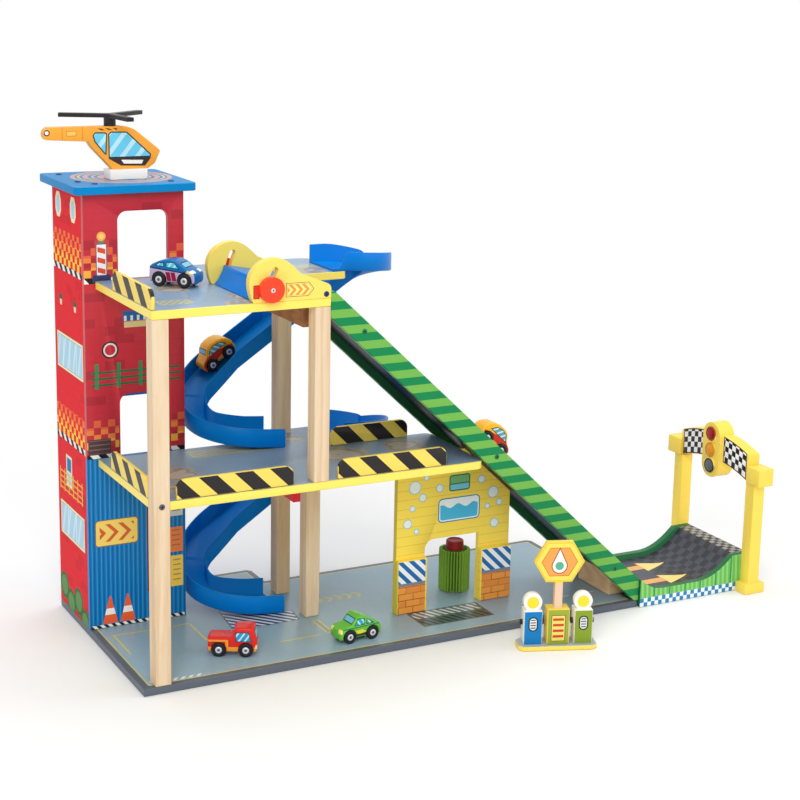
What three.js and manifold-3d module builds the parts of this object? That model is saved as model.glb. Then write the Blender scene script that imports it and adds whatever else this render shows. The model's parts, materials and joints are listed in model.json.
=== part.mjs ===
// A wooden toy parking garage: a lift tower, two decks, two plastic spirals, a launcher
// with a long ramp, a start gate, a car wash, a fuel station, a helicopter and five cars.
// Lengths are in millimetres. X runs along the front edge, Y away from the front, Z up.
// Lengths in the values below are counted from the base board's front left bottom corner;
// the whole group is then moved so that its origin is the middle of the board's underside.

import * as THREE from 'three';
import { mergeVertices } from 'three/addons/utils/BufferGeometryUtils.js';
import Module from 'manifold-3d';

const wasm = await Module();
wasm.setup();

// Clearances
const fitGap = 0.3;
const runGap = 1;
const cutOverrun = 5;

// Storeys
const baseThickness = 11;
const storeyHeight = 270;
const deckThickness = 12;
const baseTop = baseThickness;
const middleTop = baseTop + storeyHeight;
const upperTop = middleTop + storeyHeight;
const middleBottom = middleTop - deckThickness;
const upperBottom = upperTop - deckThickness;

// Base board
const baseLength = 840;
const baseDepth = 333;
const wingLength = 326;
const baseChamfer = 7;

// Lift tower
const towerFrontY = 243;
const towerWidth = 154.5;
const towerDepth = 151.5;
const towerWall = 9;
const topRoomHeight = 128.4;
const towerTop = upperTop + topRoomHeight;
const doorLeft = 52;
const doorWidth = 78;
const upperDoorHeight = 101;
const middleDoorHeight = 96;
const doorCorner = 14;
const roofOverhang = 16;
const roofThickness = 11.6;
const roofCorner = 9;
const towerBackY = towerFrontY + towerDepth;

// Posts
const postSize = 24;
const centrePostX = 318;
const centrePostY = 266;
const lowPostX = 319;
const lowPostY = 155;

// Ramp beside the upper deck
const deckLeft = 17;
const upperDeckRight = 283.4;
const rampWidth = 168;
const railThickness = 12;
const railHeight = 31.5;
const rampDrop = 28.5;
const rampOverhang = 2;
const rampFootSetback = 6;
const rampEndX = baseLength + rampOverhang;
const rampFootX = baseLength - rampFootSetback;
const trackThickness = 9;
const trackRise = 11.5;
const rampX = upperDeckRight + fitGap;
const rampTopZ = upperTop - rampDrop;
const rampFootZ = baseTop + fitGap;
const rampSlope = (rampTopZ - rampFootZ) / (rampFootX - rampX);
const rampAngle = Math.atan(rampSlope);
const rampShoulder = 8.5;

// Decks
const middleDeckDepth = 178;
const tongueRight = 400;
const middleTongueBack = 288;
const middleTongueLeft = 305;
const upperTongueFront = 187;
const upperDeckBack = 322;
const deckCorner = 12;
const tongueCorner = 30;

// Spirals
const channelWall = 3;
const channelHeight = 29;
const laneOuter = 100;
const laneInner = 12;
const eyeReach = 46;
const turnCentreY = 288;
const rightTurnPast = 15;
const rightTurnX = tongueRight + rightTurnPast;
const leftTurnX = 265;
const spiralLip = 24;
const spiralStartX = tongueRight - spiralLip;
const spiralExitX = 298;
const turnSteps = 16;
const laneStep = 16;

// Barriers
const barrierHeight = 29;
const barrierThickness = 5;
const barrierCorner = 14;
const barrierInset = 4;

// Launcher
const launcherLeft = 158.6;
const launcherFootInset = 6.4;
const launcherPlate = 12;
const launcherShoulderHeight = 28.4;
const launcherCrestX = 197.5;
const launcherCrestHeight = 62;
const launcherValleyX = 238;
const launcherValleyHeight = 37.2;
const launcherEndHeight = 19;
const launcherEndCorner = 6;
const launcherHingeX = 276;
const launcherHingeHeight = 6;
const hingePinRadius = 3;
const trayLength = 87.5;
const trayRestAngle = 8.4 * Math.PI / 180;
const trayTravel = 18 * Math.PI / 180;
const trayThickness = 10;
const trayLipReach = 6;
const trayLipRise = 4.5;
const trayFootX = 168;
const knobRadius = 18.3;
const knobThickness = 10;
const knobPinRadius = 3.5;

// Kicker and gate at the foot of the ramp
const kickerX = rampEndX + fitGap;
const kickerLength = 220;
const kickerFrontY = -5;
const kickerSide = 12;
const kickerBase = 13;
const kickerEntryHeight = 47;
const kickerLowHeight = 27;
const kickerLipHeight = 62;
const kickerTrackThickness = 5;
const kickerTrackInset = 3;
const gateSetback = 201.7;
const gateX = kickerX + gateSetback;
const gatePost = 22;
const gatePostTop = 188;
const gateFootHeight = 17;
const gateFootMargin = 9;
const gateCapHeight = 29;
const gateCapLength = 33;
const gateCapMargin = 4;
const gateCapSetback = 4.5;
const gateBandHeight = 46;
const gateBandRise = 17;
const lampCaseWidth = 46;
const lampCaseHeight = 95;
const lampCaseProud = 8;
const lampCaseBottom = 174;
const lampRadius = 13;
const lampDepth = 2;

// Car wash
const washWallY = 112;
const washWallThickness = 10;
const washWallSetback = 385.5;
const washWallLength = 205.5;
const washWallLeft = baseLength - washWallSetback;
const washWallRight = washWallLeft + washWallLength;
const washArchInset = 51.5;
const washArchLeft = washWallLeft + washArchInset;
const washArchWidth = 98;
const washArchHeight = 114;
const washArchCorner = 16;
const washLegHeight = 88;
const washLegProud = 9;
const washLegSpread = 2;
const brushInset = 140.5;
const brushX = washWallLeft + brushInset;
const brushY = 173;
const brushRadius = 25.5;
const brushHeight = 68;
const brushCapRadius = 14.5;
const brushCapHeight = 15;
const brushFlutes = 24;
const brushFluteDepth = 4;
const brushBoreRadius = 5;
const spindleRadius = 4;
const spindleHeight = 60;

// Lift
const guideWidth = 30;
const guideDepth = 14;
const platformThickness = 8;
const liftRestHeight = 90;
const liftFloorZ = middleTop + liftRestHeight;
const slideGap = 0.5;
const carriageHeight = 60;
const carriageDepth = 8;
const liftHandleRadius = 8;
const liftHandleLength = 12;
const liftHandleStem = 3;

// Cleats and blocks
const upperCleatX = 257;
const upperCleatHeight = 36;
const middleCleatX = 244;
const middleCleatHeight = 26;
const cleatThickness = 12;
const cleatFrontY = 38;
const cleatLength = 197;
const blockSetback = 29.8;
const blockX = baseLength - blockSetback;
const blockFrontY = 39;
const blockDepth = 90;

// Helicopter
const heliY = 301;
const heliThickness = 17;
const heliTail = -38;
const heliLength = 178;
const heliHeight = 64;
const heliStandX = 59;
const heliStandLength = 58;
const heliStandHeight = 14.7;
const heliStandMargin = 8;
const rotorX = 64.6;
const rotorHubRadius = 9;
const rotorHubHeight = 18;
const bladeLength = 75;
const bladeWidth = 11;
const bladeThickness = 6;
const firstBlade = 35 * Math.PI / 180;
const mastRadius = 3;
const mastRoot = 5;
const hubCap = 3;

// Fuel station
const stationX = 566;
const stationY = -81.7;
const stationYaw = -20.1 * Math.PI / 180;
const stationLength = 122;
const stationDepth = 39;
const stationBase = 7;
const stationChamfer = 7;
const pumpWidth = 28;
const pumpDepth = 24;
const pumpHeight = 54;
const pumpInset = 8;
const pumpKnobRadius = 4.5;
const pumpKnobLength = 4;
const globeRadius = 14.5;
const globeThickness = 12;
const kioskWidth = 34;
const kioskHeight = 56;
const signWidth = 78;
const signHeight = 64;
const signThickness = 9;
const signPostWidth = 12;
const signPostHeight = 43;

// Cars
const carLength = 73;
const bubbleLength = 64;
const carWidth = 32;
const carFloor = 6;
const carHeight = 34;
const truckHeight = 38.5;
const carBevel = 1.2;
const wheelRadius = 10.4;
const wheelWidth = 6;
const wheelTrack = 37;
const wheelBase = 40;
const bubbleWheelBase = 34;
const wheelWell = 11.9;
const axleRadius = 1.5;
const axlePlay = 0.4;
const wheelSides = 20;
const axleSides = 12;
const laneCarPast = 6.5;
const laneCarShift = 15;
const laneCarLift = 1.9;

// Colours and finishes
function finish(colour, roughness, metalness = 0) {
  return new THREE.MeshStandardMaterial({ color: colour, roughness, metalness });
}
const greyBoard = finish(0x8ca0aa, 0.4);
const bluePaint = finish(0x0a7dcd, 0.4);
const redPaint = finish(0xe1192d, 0.4);
const yellowPaint = finish(0xffe65a, 0.4);
const pine = finish(0xebd7b4, 0.6);
const brownWood = finish(0xa9764a, 0.6);
const bluePlastic = finish(0x0064b9, 0.3);
const greenPaint = finish(0x1e9b5a, 0.4);
const blackPaint = finish(0x23232d, 0.4);
const amberPaint = finish(0xebc83c, 0.4);
const brushGreen = finish(0x648720, 0.7);
const knobRed = finish(0xf54b32, 0.3);
const orangePaint = finish(0xffaf3c, 0.4);
const rotorBlack = finish(0x202024, 0.4);
const pumpBlue = finish(0x1e8cd2, 0.4);
const pumpGreen = finish(0x78a51e, 0.4);
const carBlue = finish(0x1e5fa5, 0.3);
const carGreen = finish(0x78c83c, 0.3);
const carYellow = finish(0xebaa28, 0.3);
const truckRed = finish(0xe13228, 0.3);
const tyreBlack = finish(0x1c1c20, 0.5);

const garage = new THREE.Group();
garage.position.set(-baseLength / 2, -baseDepth / 2, 0);

function add(name, geometry, material, parent = garage) {
  const mesh = new THREE.Mesh(geometry, material);
  mesh.name = name;
  parent.add(mesh);
  return mesh;
}

// Joining and cutting
function toSolid(geometry) {
  const bare = geometry.clone();
  bare.deleteAttribute('normal');
  bare.deleteAttribute('uv');
  const merged = mergeVertices(bare);
  const vertProperties = new Float32Array(merged.attributes.position.array);
  const triVerts = new Uint32Array(merged.index.array);
  return new wasm.Manifold(new wasm.Mesh({ numProp: 3, vertProperties, triVerts }));
}

function toGeometry(body) {
  const mesh = body.getMesh();
  const geometry = new THREE.BufferGeometry();
  geometry.setAttribute('position', new THREE.BufferAttribute(mesh.vertProperties, mesh.numProp));
  geometry.setIndex(new THREE.BufferAttribute(mesh.triVerts, 1));
  return geometry;
}

function join(...geometries) {
  const solids = geometries.map(toSolid);
  return toGeometry(solids.reduce((whole, piece) => whole.add(piece)));
}

function cut(geometry, ...cutters) {
  const solids = cutters.map(toSolid);
  return toGeometry(solids.reduce((whole, piece) => whole.subtract(piece), toSolid(geometry)));
}

// A block from its low corner and its size
function block(low, size) {
  const geometry = new THREE.BoxGeometry(...size);
  return geometry.translate(...low.map((value, axis) => value + size[axis] / 2));
}

// Outlines
function outline(points) {
  return new THREE.Shape(points.map(([x, y]) => new THREE.Vector2(x, y)));
}

// A rectangle with its four corner radii, counted from the low left corner
function roundedOutline(x, y, width, height, radii) {
  const [a, b, c, d] = radii;
  const shape = new THREE.Shape();
  shape.moveTo(x + a, y);
  shape.lineTo(x + width - b, y);
  if (b > 0) shape.absarc(x + width - b, y + b, b, -Math.PI / 2, 0, false);
  shape.lineTo(x + width, y + height - c);
  if (c > 0) shape.absarc(x + width - c, y + height - c, c, 0, Math.PI / 2, false);
  shape.lineTo(x + d, y + height);
  if (d > 0) shape.absarc(x + d, y + height - d, d, Math.PI / 2, Math.PI, false);
  shape.lineTo(x, y + a);
  if (a > 0) shape.absarc(x + a, y + a, a, Math.PI, Math.PI * 1.5, false);
  return shape;
}

function extrude(shape, depth, curveSegments = 6) {
  return new THREE.ExtrudeGeometry(shape, { depth, bevelEnabled: false, curveSegments });
}

// A flat board: the outline lies in X and Y, and the board rises from z
function flatBoard(shape, z, thickness, curveSegments = 6) {
  return extrude(shape, thickness, curveSegments).translate(0, 0, z);
}

// A board that faces the front: the outline lies in X and Z, and the board goes back from y
function frontBoard(shape, y, thickness, curveSegments = 6) {
  return extrude(shape, thickness, curveSegments).rotateX(Math.PI / 2).translate(0, y + thickness, 0);
}

// A board that faces the side: the outline lies in Y and Z, and the board goes right from x
const sideTurn = new THREE.Matrix4().makeBasis(
  new THREE.Vector3(0, 1, 0),
  new THREE.Vector3(0, 0, 1),
  new THREE.Vector3(1, 0, 0),
);
function sideBoard(shape, x, thickness, curveSegments = 6) {
  return extrude(shape, thickness, curveSegments).applyMatrix4(sideTurn).translate(x, 0, 0);
}

// A peg or disc on an axis: 'x', 'y' or 'z', from its low end
function peg(axis, low, radius, length, sides = 16) {
  const geometry = new THREE.CylinderGeometry(radius, radius, length, sides).translate(0, length / 2, 0);
  if (axis === 'x') geometry.rotateZ(-Math.PI / 2);
  if (axis === 'z') geometry.rotateX(Math.PI / 2);
  return geometry.translate(...low);
}

// Base board with the wing under the tower and the spirals
const wingDepth = towerBackY;
add('base_board', flatBoard(outline([
  [0, 0],
  [baseLength, 0],
  [baseLength, baseDepth - baseChamfer],
  [baseLength - baseChamfer, baseDepth],
  [wingLength, baseDepth],
  [wingLength, wingDepth - baseChamfer],
  [wingLength - baseChamfer, wingDepth],
  [0, wingDepth],
]), 0, baseThickness), greyBoard);

// Tower walls: the side and front are closed, the right side and the back are open
const wallBottom = baseTop + fitGap;
add('tower_side_wall', block(
  [0, towerFrontY + towerWall + fitGap, wallBottom],
  [towerWall, towerDepth - towerWall - fitGap, towerTop - wallBottom],
), redPaint);

function doorway(floorZ, height) {
  const shape = roundedOutline(
    doorLeft, floorZ - cutOverrun, doorWidth, height + cutOverrun, [0, 0, doorCorner, doorCorner],
  );
  return frontBoard(shape, towerFrontY - cutOverrun, towerWall + cutOverrun * 2);
}
const frontWallBottom = middleTop + fitGap;
const upperDoor = frontBoard(
  roundedOutline(doorLeft, upperTop, doorWidth, upperDoorHeight, [0, 0, doorCorner, doorCorner]),
  towerFrontY - cutOverrun, towerWall + cutOverrun * 2,
);
add('tower_front_wall', cut(
  block([0, towerFrontY, frontWallBottom], [towerWidth, towerWall, towerTop - frontWallBottom]),
  upperDoor,
  doorway(middleTop, middleDoorHeight),
), redPaint);
add('tower_lower_wall', block(
  [0, towerFrontY, wallBottom],
  [towerWidth, towerWall, middleTop - wallBottom],
), bluePaint);

add('roof_board', flatBoard(roundedOutline(
  -roofOverhang, towerFrontY - roofOverhang,
  towerWidth + roofOverhang * 2, towerDepth + roofOverhang * 2,
  [roofCorner, roofCorner, roofCorner, roofCorner],
), towerTop + fitGap, roofThickness, 4), bluePaint);

// Lift: a guide rail on the side wall, a platform round it, a carriage plate and a handle
const liftCentreY = towerFrontY + towerWall + (towerDepth - towerWall) / 2;
const guideY = liftCentreY - guideWidth / 2;
const guideX = towerWall + fitGap;
add('lift_guide', block(
  [guideX, guideY, wallBottom],
  [guideDepth, guideWidth, towerTop - wallBottom],
), pine);

const platformLeft = towerWall + runGap;
const platformFront = towerFrontY + towerWall + runGap;
const platformRight = towerWidth - runGap;
const platformBack = towerBackY - runGap;
const guideEnd = guideX + guideDepth + slideGap;
const platformFloor = cut(
  block(
    [platformLeft, platformFront, liftFloorZ],
    [platformRight - platformLeft, platformBack - platformFront, platformThickness],
  ),
  block(
    [platformLeft - cutOverrun, guideY - slideGap, liftFloorZ - cutOverrun],
    [guideEnd - platformLeft + cutOverrun, guideWidth + slideGap * 2, platformThickness + cutOverrun * 2],
  ),
);
const platformMiddleX = (platformLeft + platformRight) / 2;
const platformMidZ = liftFloorZ + platformThickness / 2;
const carriage = block(
  [guideEnd, guideY - guideWidth / 2, liftFloorZ],
  [carriageDepth, guideWidth * 2, platformThickness + carriageHeight],
);
const handleStem = peg('y', [platformMiddleX, platformBack - carriageDepth, platformMidZ],
  liftHandleStem, carriageDepth + liftHandleLength, 12);
const handleKnob = peg('y', [platformMiddleX, platformBack + liftHandleLength / 3, platformMidZ],
  liftHandleRadius, liftHandleLength, 16);
add('lift_platform', join(platformFloor, carriage, handleStem, handleKnob), bluePlastic);

// Posts
const rightPostX = upperDeckRight - postSize;
function post(name, x, y, bottom, top) {
  add(name, block([x, y, bottom + fitGap], [postSize, postSize, top - bottom - fitGap * 2]), pine);
}
post('post_front_left', deckLeft, 0, baseTop, upperBottom);
post('post_front_right', rightPostX, 0, middleTop, upperBottom);
post('post_centre', centrePostX, centrePostY, baseTop, upperBottom);
post('post_low', lowPostX, lowPostY, baseTop, middleBottom);

// Ramp lines: the height of the rails' lower edge, and of lines above it
function rampLine(x, rise) {
  return rampTopZ - (x - rampX) * rampSlope + rise / Math.cos(rampAngle);
}
function rampLineX(z, rise) {
  return rampX + (rampTopZ + rise / Math.cos(rampAngle) - z) / rampSlope;
}

// Middle deck: its right end stops under the ramp's rails
const middleDeckRight = rampLineX(middleTop + fitGap, 0);
const deckBackY = towerFrontY - fitGap;
const notchLeft = centrePostX - fitGap;
const notchRight = centrePostX + postSize + fitGap;
const notchFront = centrePostY - fitGap;
const cornerNotch = deckLeft + postSize + fitGap;
const cornerNotchY = postSize + fitGap;
const middleShape = new THREE.Shape();
middleShape.moveTo(cornerNotch, 0);
middleShape.lineTo(middleDeckRight - deckCorner, 0);
middleShape.absarc(middleDeckRight - deckCorner, deckCorner, deckCorner, -Math.PI / 2, 0, false);
middleShape.lineTo(middleDeckRight, middleDeckDepth - deckCorner);
middleShape.absarc(
  middleDeckRight - deckCorner, middleDeckDepth - deckCorner, deckCorner, 0, Math.PI / 2, false,
);
middleShape.lineTo(tongueRight, middleDeckDepth);
middleShape.lineTo(tongueRight, middleTongueBack);
middleShape.lineTo(notchRight, middleTongueBack);
middleShape.lineTo(notchRight, notchFront);
middleShape.lineTo(notchLeft, notchFront);
middleShape.lineTo(notchLeft, middleTongueBack);
middleShape.lineTo(middleTongueLeft, middleTongueBack);
middleShape.lineTo(middleTongueLeft, deckBackY);
middleShape.lineTo(deckLeft, deckBackY);
middleShape.lineTo(deckLeft, cornerNotchY);
middleShape.lineTo(cornerNotch, cornerNotchY);
add('deck_middle', flatBoard(middleShape, middleBottom, deckThickness), greyBoard);

// Upper deck with its tongue to the spiral
const upperShape = new THREE.Shape();
upperShape.moveTo(deckLeft, 0);
upperShape.lineTo(upperDeckRight, 0);
upperShape.lineTo(upperDeckRight, upperTongueFront);
upperShape.lineTo(tongueRight - deckCorner, upperTongueFront);
upperShape.absarc(
  tongueRight - deckCorner, upperTongueFront + deckCorner, deckCorner, -Math.PI / 2, 0, false,
);
upperShape.lineTo(tongueRight, upperDeckBack - tongueCorner);
upperShape.absarc(
  tongueRight - tongueCorner, upperDeckBack - tongueCorner, tongueCorner, 0, Math.PI / 2, false,
);
upperShape.lineTo(towerWidth + fitGap, upperDeckBack);
upperShape.lineTo(towerWidth + fitGap, deckBackY);
upperShape.lineTo(deckLeft, deckBackY);
add('deck_upper', flatBoard(upperShape, upperBottom, deckThickness), greyBoard);

// Cleats under the decks
function cleat(name, x, deckUnderside, height, material) {
  add(name, block(
    [x, cleatFrontY, deckUnderside - fitGap - height],
    [cleatThickness, cleatLength, height],
  ), material);
}
cleat('cleat_upper', upperCleatX, upperBottom, upperCleatHeight, brownWood);
cleat('cleat_middle', middleCleatX, middleBottom, middleCleatHeight, redPaint);

// Long ramp: two rails and the track between them
const railShape = outline([
  [rampX, rampLine(rampX, 0)],
  [rampFootX, rampFootZ],
  [rampEndX, rampFootZ],
  [rampEndX, rampLine(rampEndX, railHeight)],
  [rampLineX(upperTop + rampShoulder, railHeight), upperTop + rampShoulder],
  [rampX, upperTop + rampShoulder],
]);
const railBackY = rampWidth - railThickness;
add('ramp_rail_front', frontBoard(railShape, 0, railThickness), greenPaint);
add('ramp_rail_back', frontBoard(railShape, railBackY, railThickness), greenPaint);
const trackFront = railThickness + fitGap;
const trackWidth = rampWidth - trackFront * 2;
add('ramp_track', frontBoard(outline([
  [rampX, rampLine(rampX, trackRise)],
  [rampEndX, rampLine(rampEndX, trackRise)],
  [rampEndX, rampLine(rampEndX, trackRise + trackThickness)],
  [rampX, rampLine(rampX, trackRise + trackThickness)],
]), trackFront, trackWidth), blackPaint);
const underTrack = trackRise - fitGap;
const blockRight = Math.min(rampLineX(wallBottom, underTrack) - trackThickness, baseLength);
add('ramp_block', frontBoard(outline([
  [blockX, wallBottom],
  [blockRight, wallBottom],
  [blockRight, rampLine(blockRight, underTrack)],
  [blockX, rampLine(blockX, underTrack)],
]), blockFrontY, blockDepth), pine);

// Spirals: a channel between an outer wall with two half turns and a long narrow eye.
// Each station holds a point on both walls and how far the channel has fallen there.
const frontLaneY = turnCentreY - laneOuter;
const slopeShares = [
  [0, 0.1], [0.1, 0.19], [0.195, 0.34], [0.3, 0.5], [0.4, 0.6], [0.5, 0.7], [0.765, 0.7],
  [0.8, 0.5], [0.83, 0.3], [0.87, 0.18], [1, 0.08],
];
const eyeStraightShare = 0.3;
function slopeShare(share) {
  const after = Math.max(1, slopeShares.findIndex(([place]) => place >= share));
  const [place1, slope1] = slopeShares[after];
  const [place0, slope0] = slopeShares[after - 1];
  return slope0 + (slope1 - slope0) * (share - place0) / (place1 - place0);
}

function spiralPath() {
  const stations = [];
  const straight = (x0, x1, side) => {
    const steps = Math.ceil(Math.abs(x1 - x0) / laneStep);
    for (let i = 0; i < steps; i += 1) {
      const x = x0 + (x1 - x0) * i / steps;
      stations.push({
        outer: [x, turnCentreY + side * laneOuter], inner: [x, turnCentreY + side * laneInner],
      });
    }
  };
  const turn = (centreX, side) => {
    const eyeX = centreX + side * eyeReach;
    for (let i = 0; i < turnSteps; i += 1) {
      const share = i / turnSteps;
      const angle = Math.PI * (share - side / 2);
      const outer = [centreX + laneOuter * Math.cos(angle), turnCentreY + laneOuter * Math.sin(angle)];
      const before = share / eyeStraightShare;
      const after = (1 - share) / eyeStraightShare;
      const along = (share - eyeStraightShare) / (1 - eyeStraightShare * 2);
      const eyeAngle = Math.PI * (along - side / 2);
      let inner = [eyeX + laneInner * Math.cos(eyeAngle), turnCentreY + laneInner * Math.sin(eyeAngle)];
      if (before < 1) inner = [centreX + side * eyeReach * before, turnCentreY - side * laneInner];
      if (after < 1) inner = [centreX + side * eyeReach * after, turnCentreY + side * laneInner];
      stations.push({ outer, inner });
    }
  };
  straight(spiralStartX, tongueRight + fitGap, -1);
  straight(tongueRight + fitGap, rightTurnX, -1);
  turn(rightTurnX, 1);
  straight(rightTurnX, leftTurnX, 1);
  turn(leftTurnX, -1);
  straight(leftTurnX, spiralExitX, -1);
  stations.push({
    outer: [spiralExitX, turnCentreY - laneOuter], inner: [spiralExitX, turnCentreY - laneInner],
  });
  let travelled = 0;
  stations.forEach((station, i) => {
    const { outer, inner } = station;
    station.middle = [(outer[0] + inner[0]) / 2, (outer[1] + inner[1]) / 2];
    const last = stations[Math.max(i - 1, 0)].middle;
    travelled += Math.hypot(station.middle[0] - last[0], station.middle[1] - last[1]);
    station.travelled = travelled;
  });
  const lip = tongueRight + fitGap - spiralStartX;
  let fallen = 0;
  stations.forEach((station, i) => {
    station.share = Math.max(0, (station.travelled - lip) / (travelled - lip));
    const last = stations[Math.max(i - 1, 0)];
    const mean = (slopeShare(station.share) + slopeShare(last.share)) / 2;
    fallen += (station.share - last.share) * mean;
    station.fallen = fallen;
  });
  for (const station of stations) {
    station.drop = storeyHeight * station.fallen / fallen;
  }
  return stations;
}

function channel(stations, startZ) {
  const positions = [];
  const faces = [];
  for (const { outer, inner, drop } of stations) {
    const width = Math.hypot(outer[0] - inner[0], outer[1] - inner[1]);
    const across = [(outer[0] - inner[0]) / width, (outer[1] - inner[1]) / width];
    const point = (side, height) => {
      const [x, y] = inner.map((value, axis) => value + across[axis] * side);
      positions.push(x, y, startZ - drop + height);
    };
    point(width, 0);
    point(0, 0);
    point(0, channelHeight);
    point(channelWall, channelHeight);
    point(channelWall, channelWall);
    point(width - channelWall, channelWall);
    point(width - channelWall, channelHeight);
    point(width, channelHeight);
  }
  const corners = positions.length / stations.length / 3;
  const quad = (a, b, c, d) => faces.push(a, b, c, a, c, d);
  for (let i = 0; i + 1 < stations.length; i += 1) {
    for (let j = 0; j < corners; j += 1) {
      const next = (j + 1) % corners;
      quad(i * corners + j, i * corners + next, (i + 1) * corners + next, (i + 1) * corners + j);
    }
  }
  const cap = (first, flip) => {
    for (const [a, b, c, d] of [[0, 1, 4, 5], [1, 2, 3, 4], [0, 5, 6, 7]]) {
      if (flip) quad(first + a, first + b, first + c, first + d);
      else quad(first + d, first + c, first + b, first + a);
    }
  };
  cap(0, false);
  cap((stations.length - 1) * corners, true);
  const geometry = new THREE.BufferGeometry();
  geometry.setAttribute('position', new THREE.Float32BufferAttribute(positions, 3));
  geometry.setIndex(faces);
  return geometry;
}

const spiralStations = spiralPath();
function spiral(name, deckTop) {
  const startZ = deckTop + fitGap;
  const outerWall = block(
    [spiralStartX - cutOverrun, frontLaneY - cutOverrun, startZ + channelWall + fitGap],
    [tongueRight - spiralStartX + cutOverrun, channelWall + cutOverrun, channelHeight],
  );
  add(name, cut(channel(spiralStations, startZ), outerWall), bluePlastic);
}
spiral('spiral_upper', upperTop);
spiral('spiral_lower', middleTop);

// Barriers stand on the decks, with their two upper corners rounded
const barrierRadii = [0, 0, barrierCorner, barrierCorner];
function frontBarrier(name, x, length, y, deckTop) {
  const shape = roundedOutline(x, deckTop + fitGap, length, barrierHeight, barrierRadii);
  add(name, frontBoard(shape, y, barrierThickness, 5), amberPaint);
}
function sideBarrier(name, y, length, deckTop) {
  const shape = roundedOutline(y, deckTop + fitGap, length, barrierHeight, barrierRadii);
  add(name, sideBoard(shape, deckLeft + runGap, barrierThickness, 5), amberPaint);
}
const barrierOneX = 52;
const barrierOneLength = 178;
const barrierTwoX = 300;
const barrierRampGap = 32.5;
const barrierTwoLength = rampLineX(middleTop + barrierHeight, 0) - barrierRampGap - barrierTwoX;
const barrierBackX = 366;
const barrierBackLength = 134;
const barrierUpperLength = 163;
const barrierSideLength = 158;
frontBarrier('barrier_front_left', barrierOneX, barrierOneLength, barrierInset, middleTop);
frontBarrier('barrier_front_right', barrierTwoX, barrierTwoLength, barrierInset, middleTop);
frontBarrier('barrier_back', barrierBackX, barrierBackLength, rampWidth + fitGap, middleTop);
sideBarrier('barrier_upper_left', barrierInset, barrierUpperLength, upperTop);
sideBarrier('barrier_middle_left', cornerNotchY + barrierInset, barrierSideLength, middleTop);

// Launcher: two side plates with arc slots, and a tray that swings up between them
const hingeZ = upperTop + launcherHingeHeight;
const plateBottom = upperTop + fitGap;
const crestZ = upperTop + launcherCrestHeight;
const valleyZ = upperTop + launcherValleyHeight;
const shoulderZ = upperTop + launcherShoulderHeight;
const endZ = upperTop + launcherEndHeight;
const endSlope = (valleyZ - endZ) / (upperDeckRight - launcherValleyX);
const slotHalf = knobPinRadius + runGap;
const pinHole = hingePinRadius + fitGap;
function pointOnArm(radius, angle) {
  return [launcherHingeX - radius * Math.cos(angle), hingeZ + radius * Math.sin(angle)];
}
const hollowShare = 0.22;
const hollowRiseShare = 0.24;
const crestShare = 0.48;
const crestRun = launcherValleyX - launcherCrestX;
const launcherShape = new THREE.Shape();
launcherShape.moveTo(upperDeckRight, plateBottom);
launcherShape.lineTo(upperDeckRight, endZ - launcherEndCorner);
launcherShape.quadraticCurveTo(
  upperDeckRight, endZ, upperDeckRight - launcherEndCorner, endZ + launcherEndCorner * endSlope,
);
launcherShape.lineTo(launcherValleyX, valleyZ);
launcherShape.bezierCurveTo(
  launcherValleyX - crestRun * hollowShare, valleyZ + (crestZ - valleyZ) * hollowRiseShare,
  launcherCrestX + crestRun * crestShare, crestZ, launcherCrestX, crestZ,
);
launcherShape.absellipse(
  launcherCrestX, shoulderZ, launcherCrestX - launcherLeft, crestZ - shoulderZ,
  Math.PI / 2, Math.PI, false,
);
launcherShape.quadraticCurveTo(
  launcherLeft, (shoulderZ + plateBottom) / 2, launcherLeft + launcherFootInset, plateBottom,
);
const slotPath = new THREE.Path();
const slotLow = trayRestAngle;
const slotHigh = trayRestAngle + trayTravel;
const [lowX, lowZ] = pointOnArm(trayLength, slotLow);
const [highX, highZ] = pointOnArm(trayLength, slotHigh);
slotPath.absarc(launcherHingeX, hingeZ, trayLength + slotHalf, Math.PI - slotLow,
  Math.PI - slotHigh, true);
slotPath.absarc(highX, highZ, slotHalf, Math.PI - slotHigh, -slotHigh, true);
slotPath.absarc(launcherHingeX, hingeZ, trayLength - slotHalf, Math.PI - slotHigh,
  Math.PI - slotLow, false);
slotPath.absarc(lowX, lowZ, slotHalf, -slotLow, -Math.PI - slotLow, true);
launcherShape.holes.push(slotPath);
const hingePath = new THREE.Path();
hingePath.absarc(launcherHingeX, hingeZ, pinHole / Math.cos(Math.PI / 12), 0, Math.PI * 2, false);
launcherShape.holes.push(hingePath);
const farPlateY = rampWidth - launcherPlate;
add('launcher_plate_front', frontBoard(launcherShape, 0, launcherPlate, 6), yellowPaint);
add('launcher_plate_back', frontBoard(launcherShape, farPlateY, launcherPlate, 6), yellowPaint);

// The tray is a bent plate: a sloping floor from the hinge to its lip, and a curved apron
const trayFront = launcherPlate + runGap;
const trayWidth = farPlateY - runGap - trayFront;
const halfTray = trayThickness / 2;
const trayCrest = pointOnArm(trayLength, trayRestAngle);
const trayFootZ = upperTop + runGap;
const trayShape = new THREE.Shape();
trayShape.moveTo(launcherHingeX, hingeZ - halfTray + runGap);
trayShape.lineTo(launcherHingeX, hingeZ + halfTray);
trayShape.lineTo(trayCrest[0] - trayLipReach, trayCrest[1] + halfTray + trayLipRise);
trayShape.quadraticCurveTo(
  trayFootX + trayThickness, trayFootZ + trayThickness, trayFootX, trayFootZ,
);
trayShape.lineTo(trayFootX + trayThickness, trayFootZ);
trayShape.quadraticCurveTo(
  trayFootX + trayThickness * 2, trayFootZ + trayThickness, trayCrest[0] + trayThickness / 2,
  trayCrest[1] - halfTray,
);
const trayPlate = frontBoard(trayShape, trayFront, trayWidth, 6);
const pivotPin = peg('y', [launcherHingeX, runGap, hingeZ], hingePinRadius, rampWidth - runGap * 2, 12);
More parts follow.
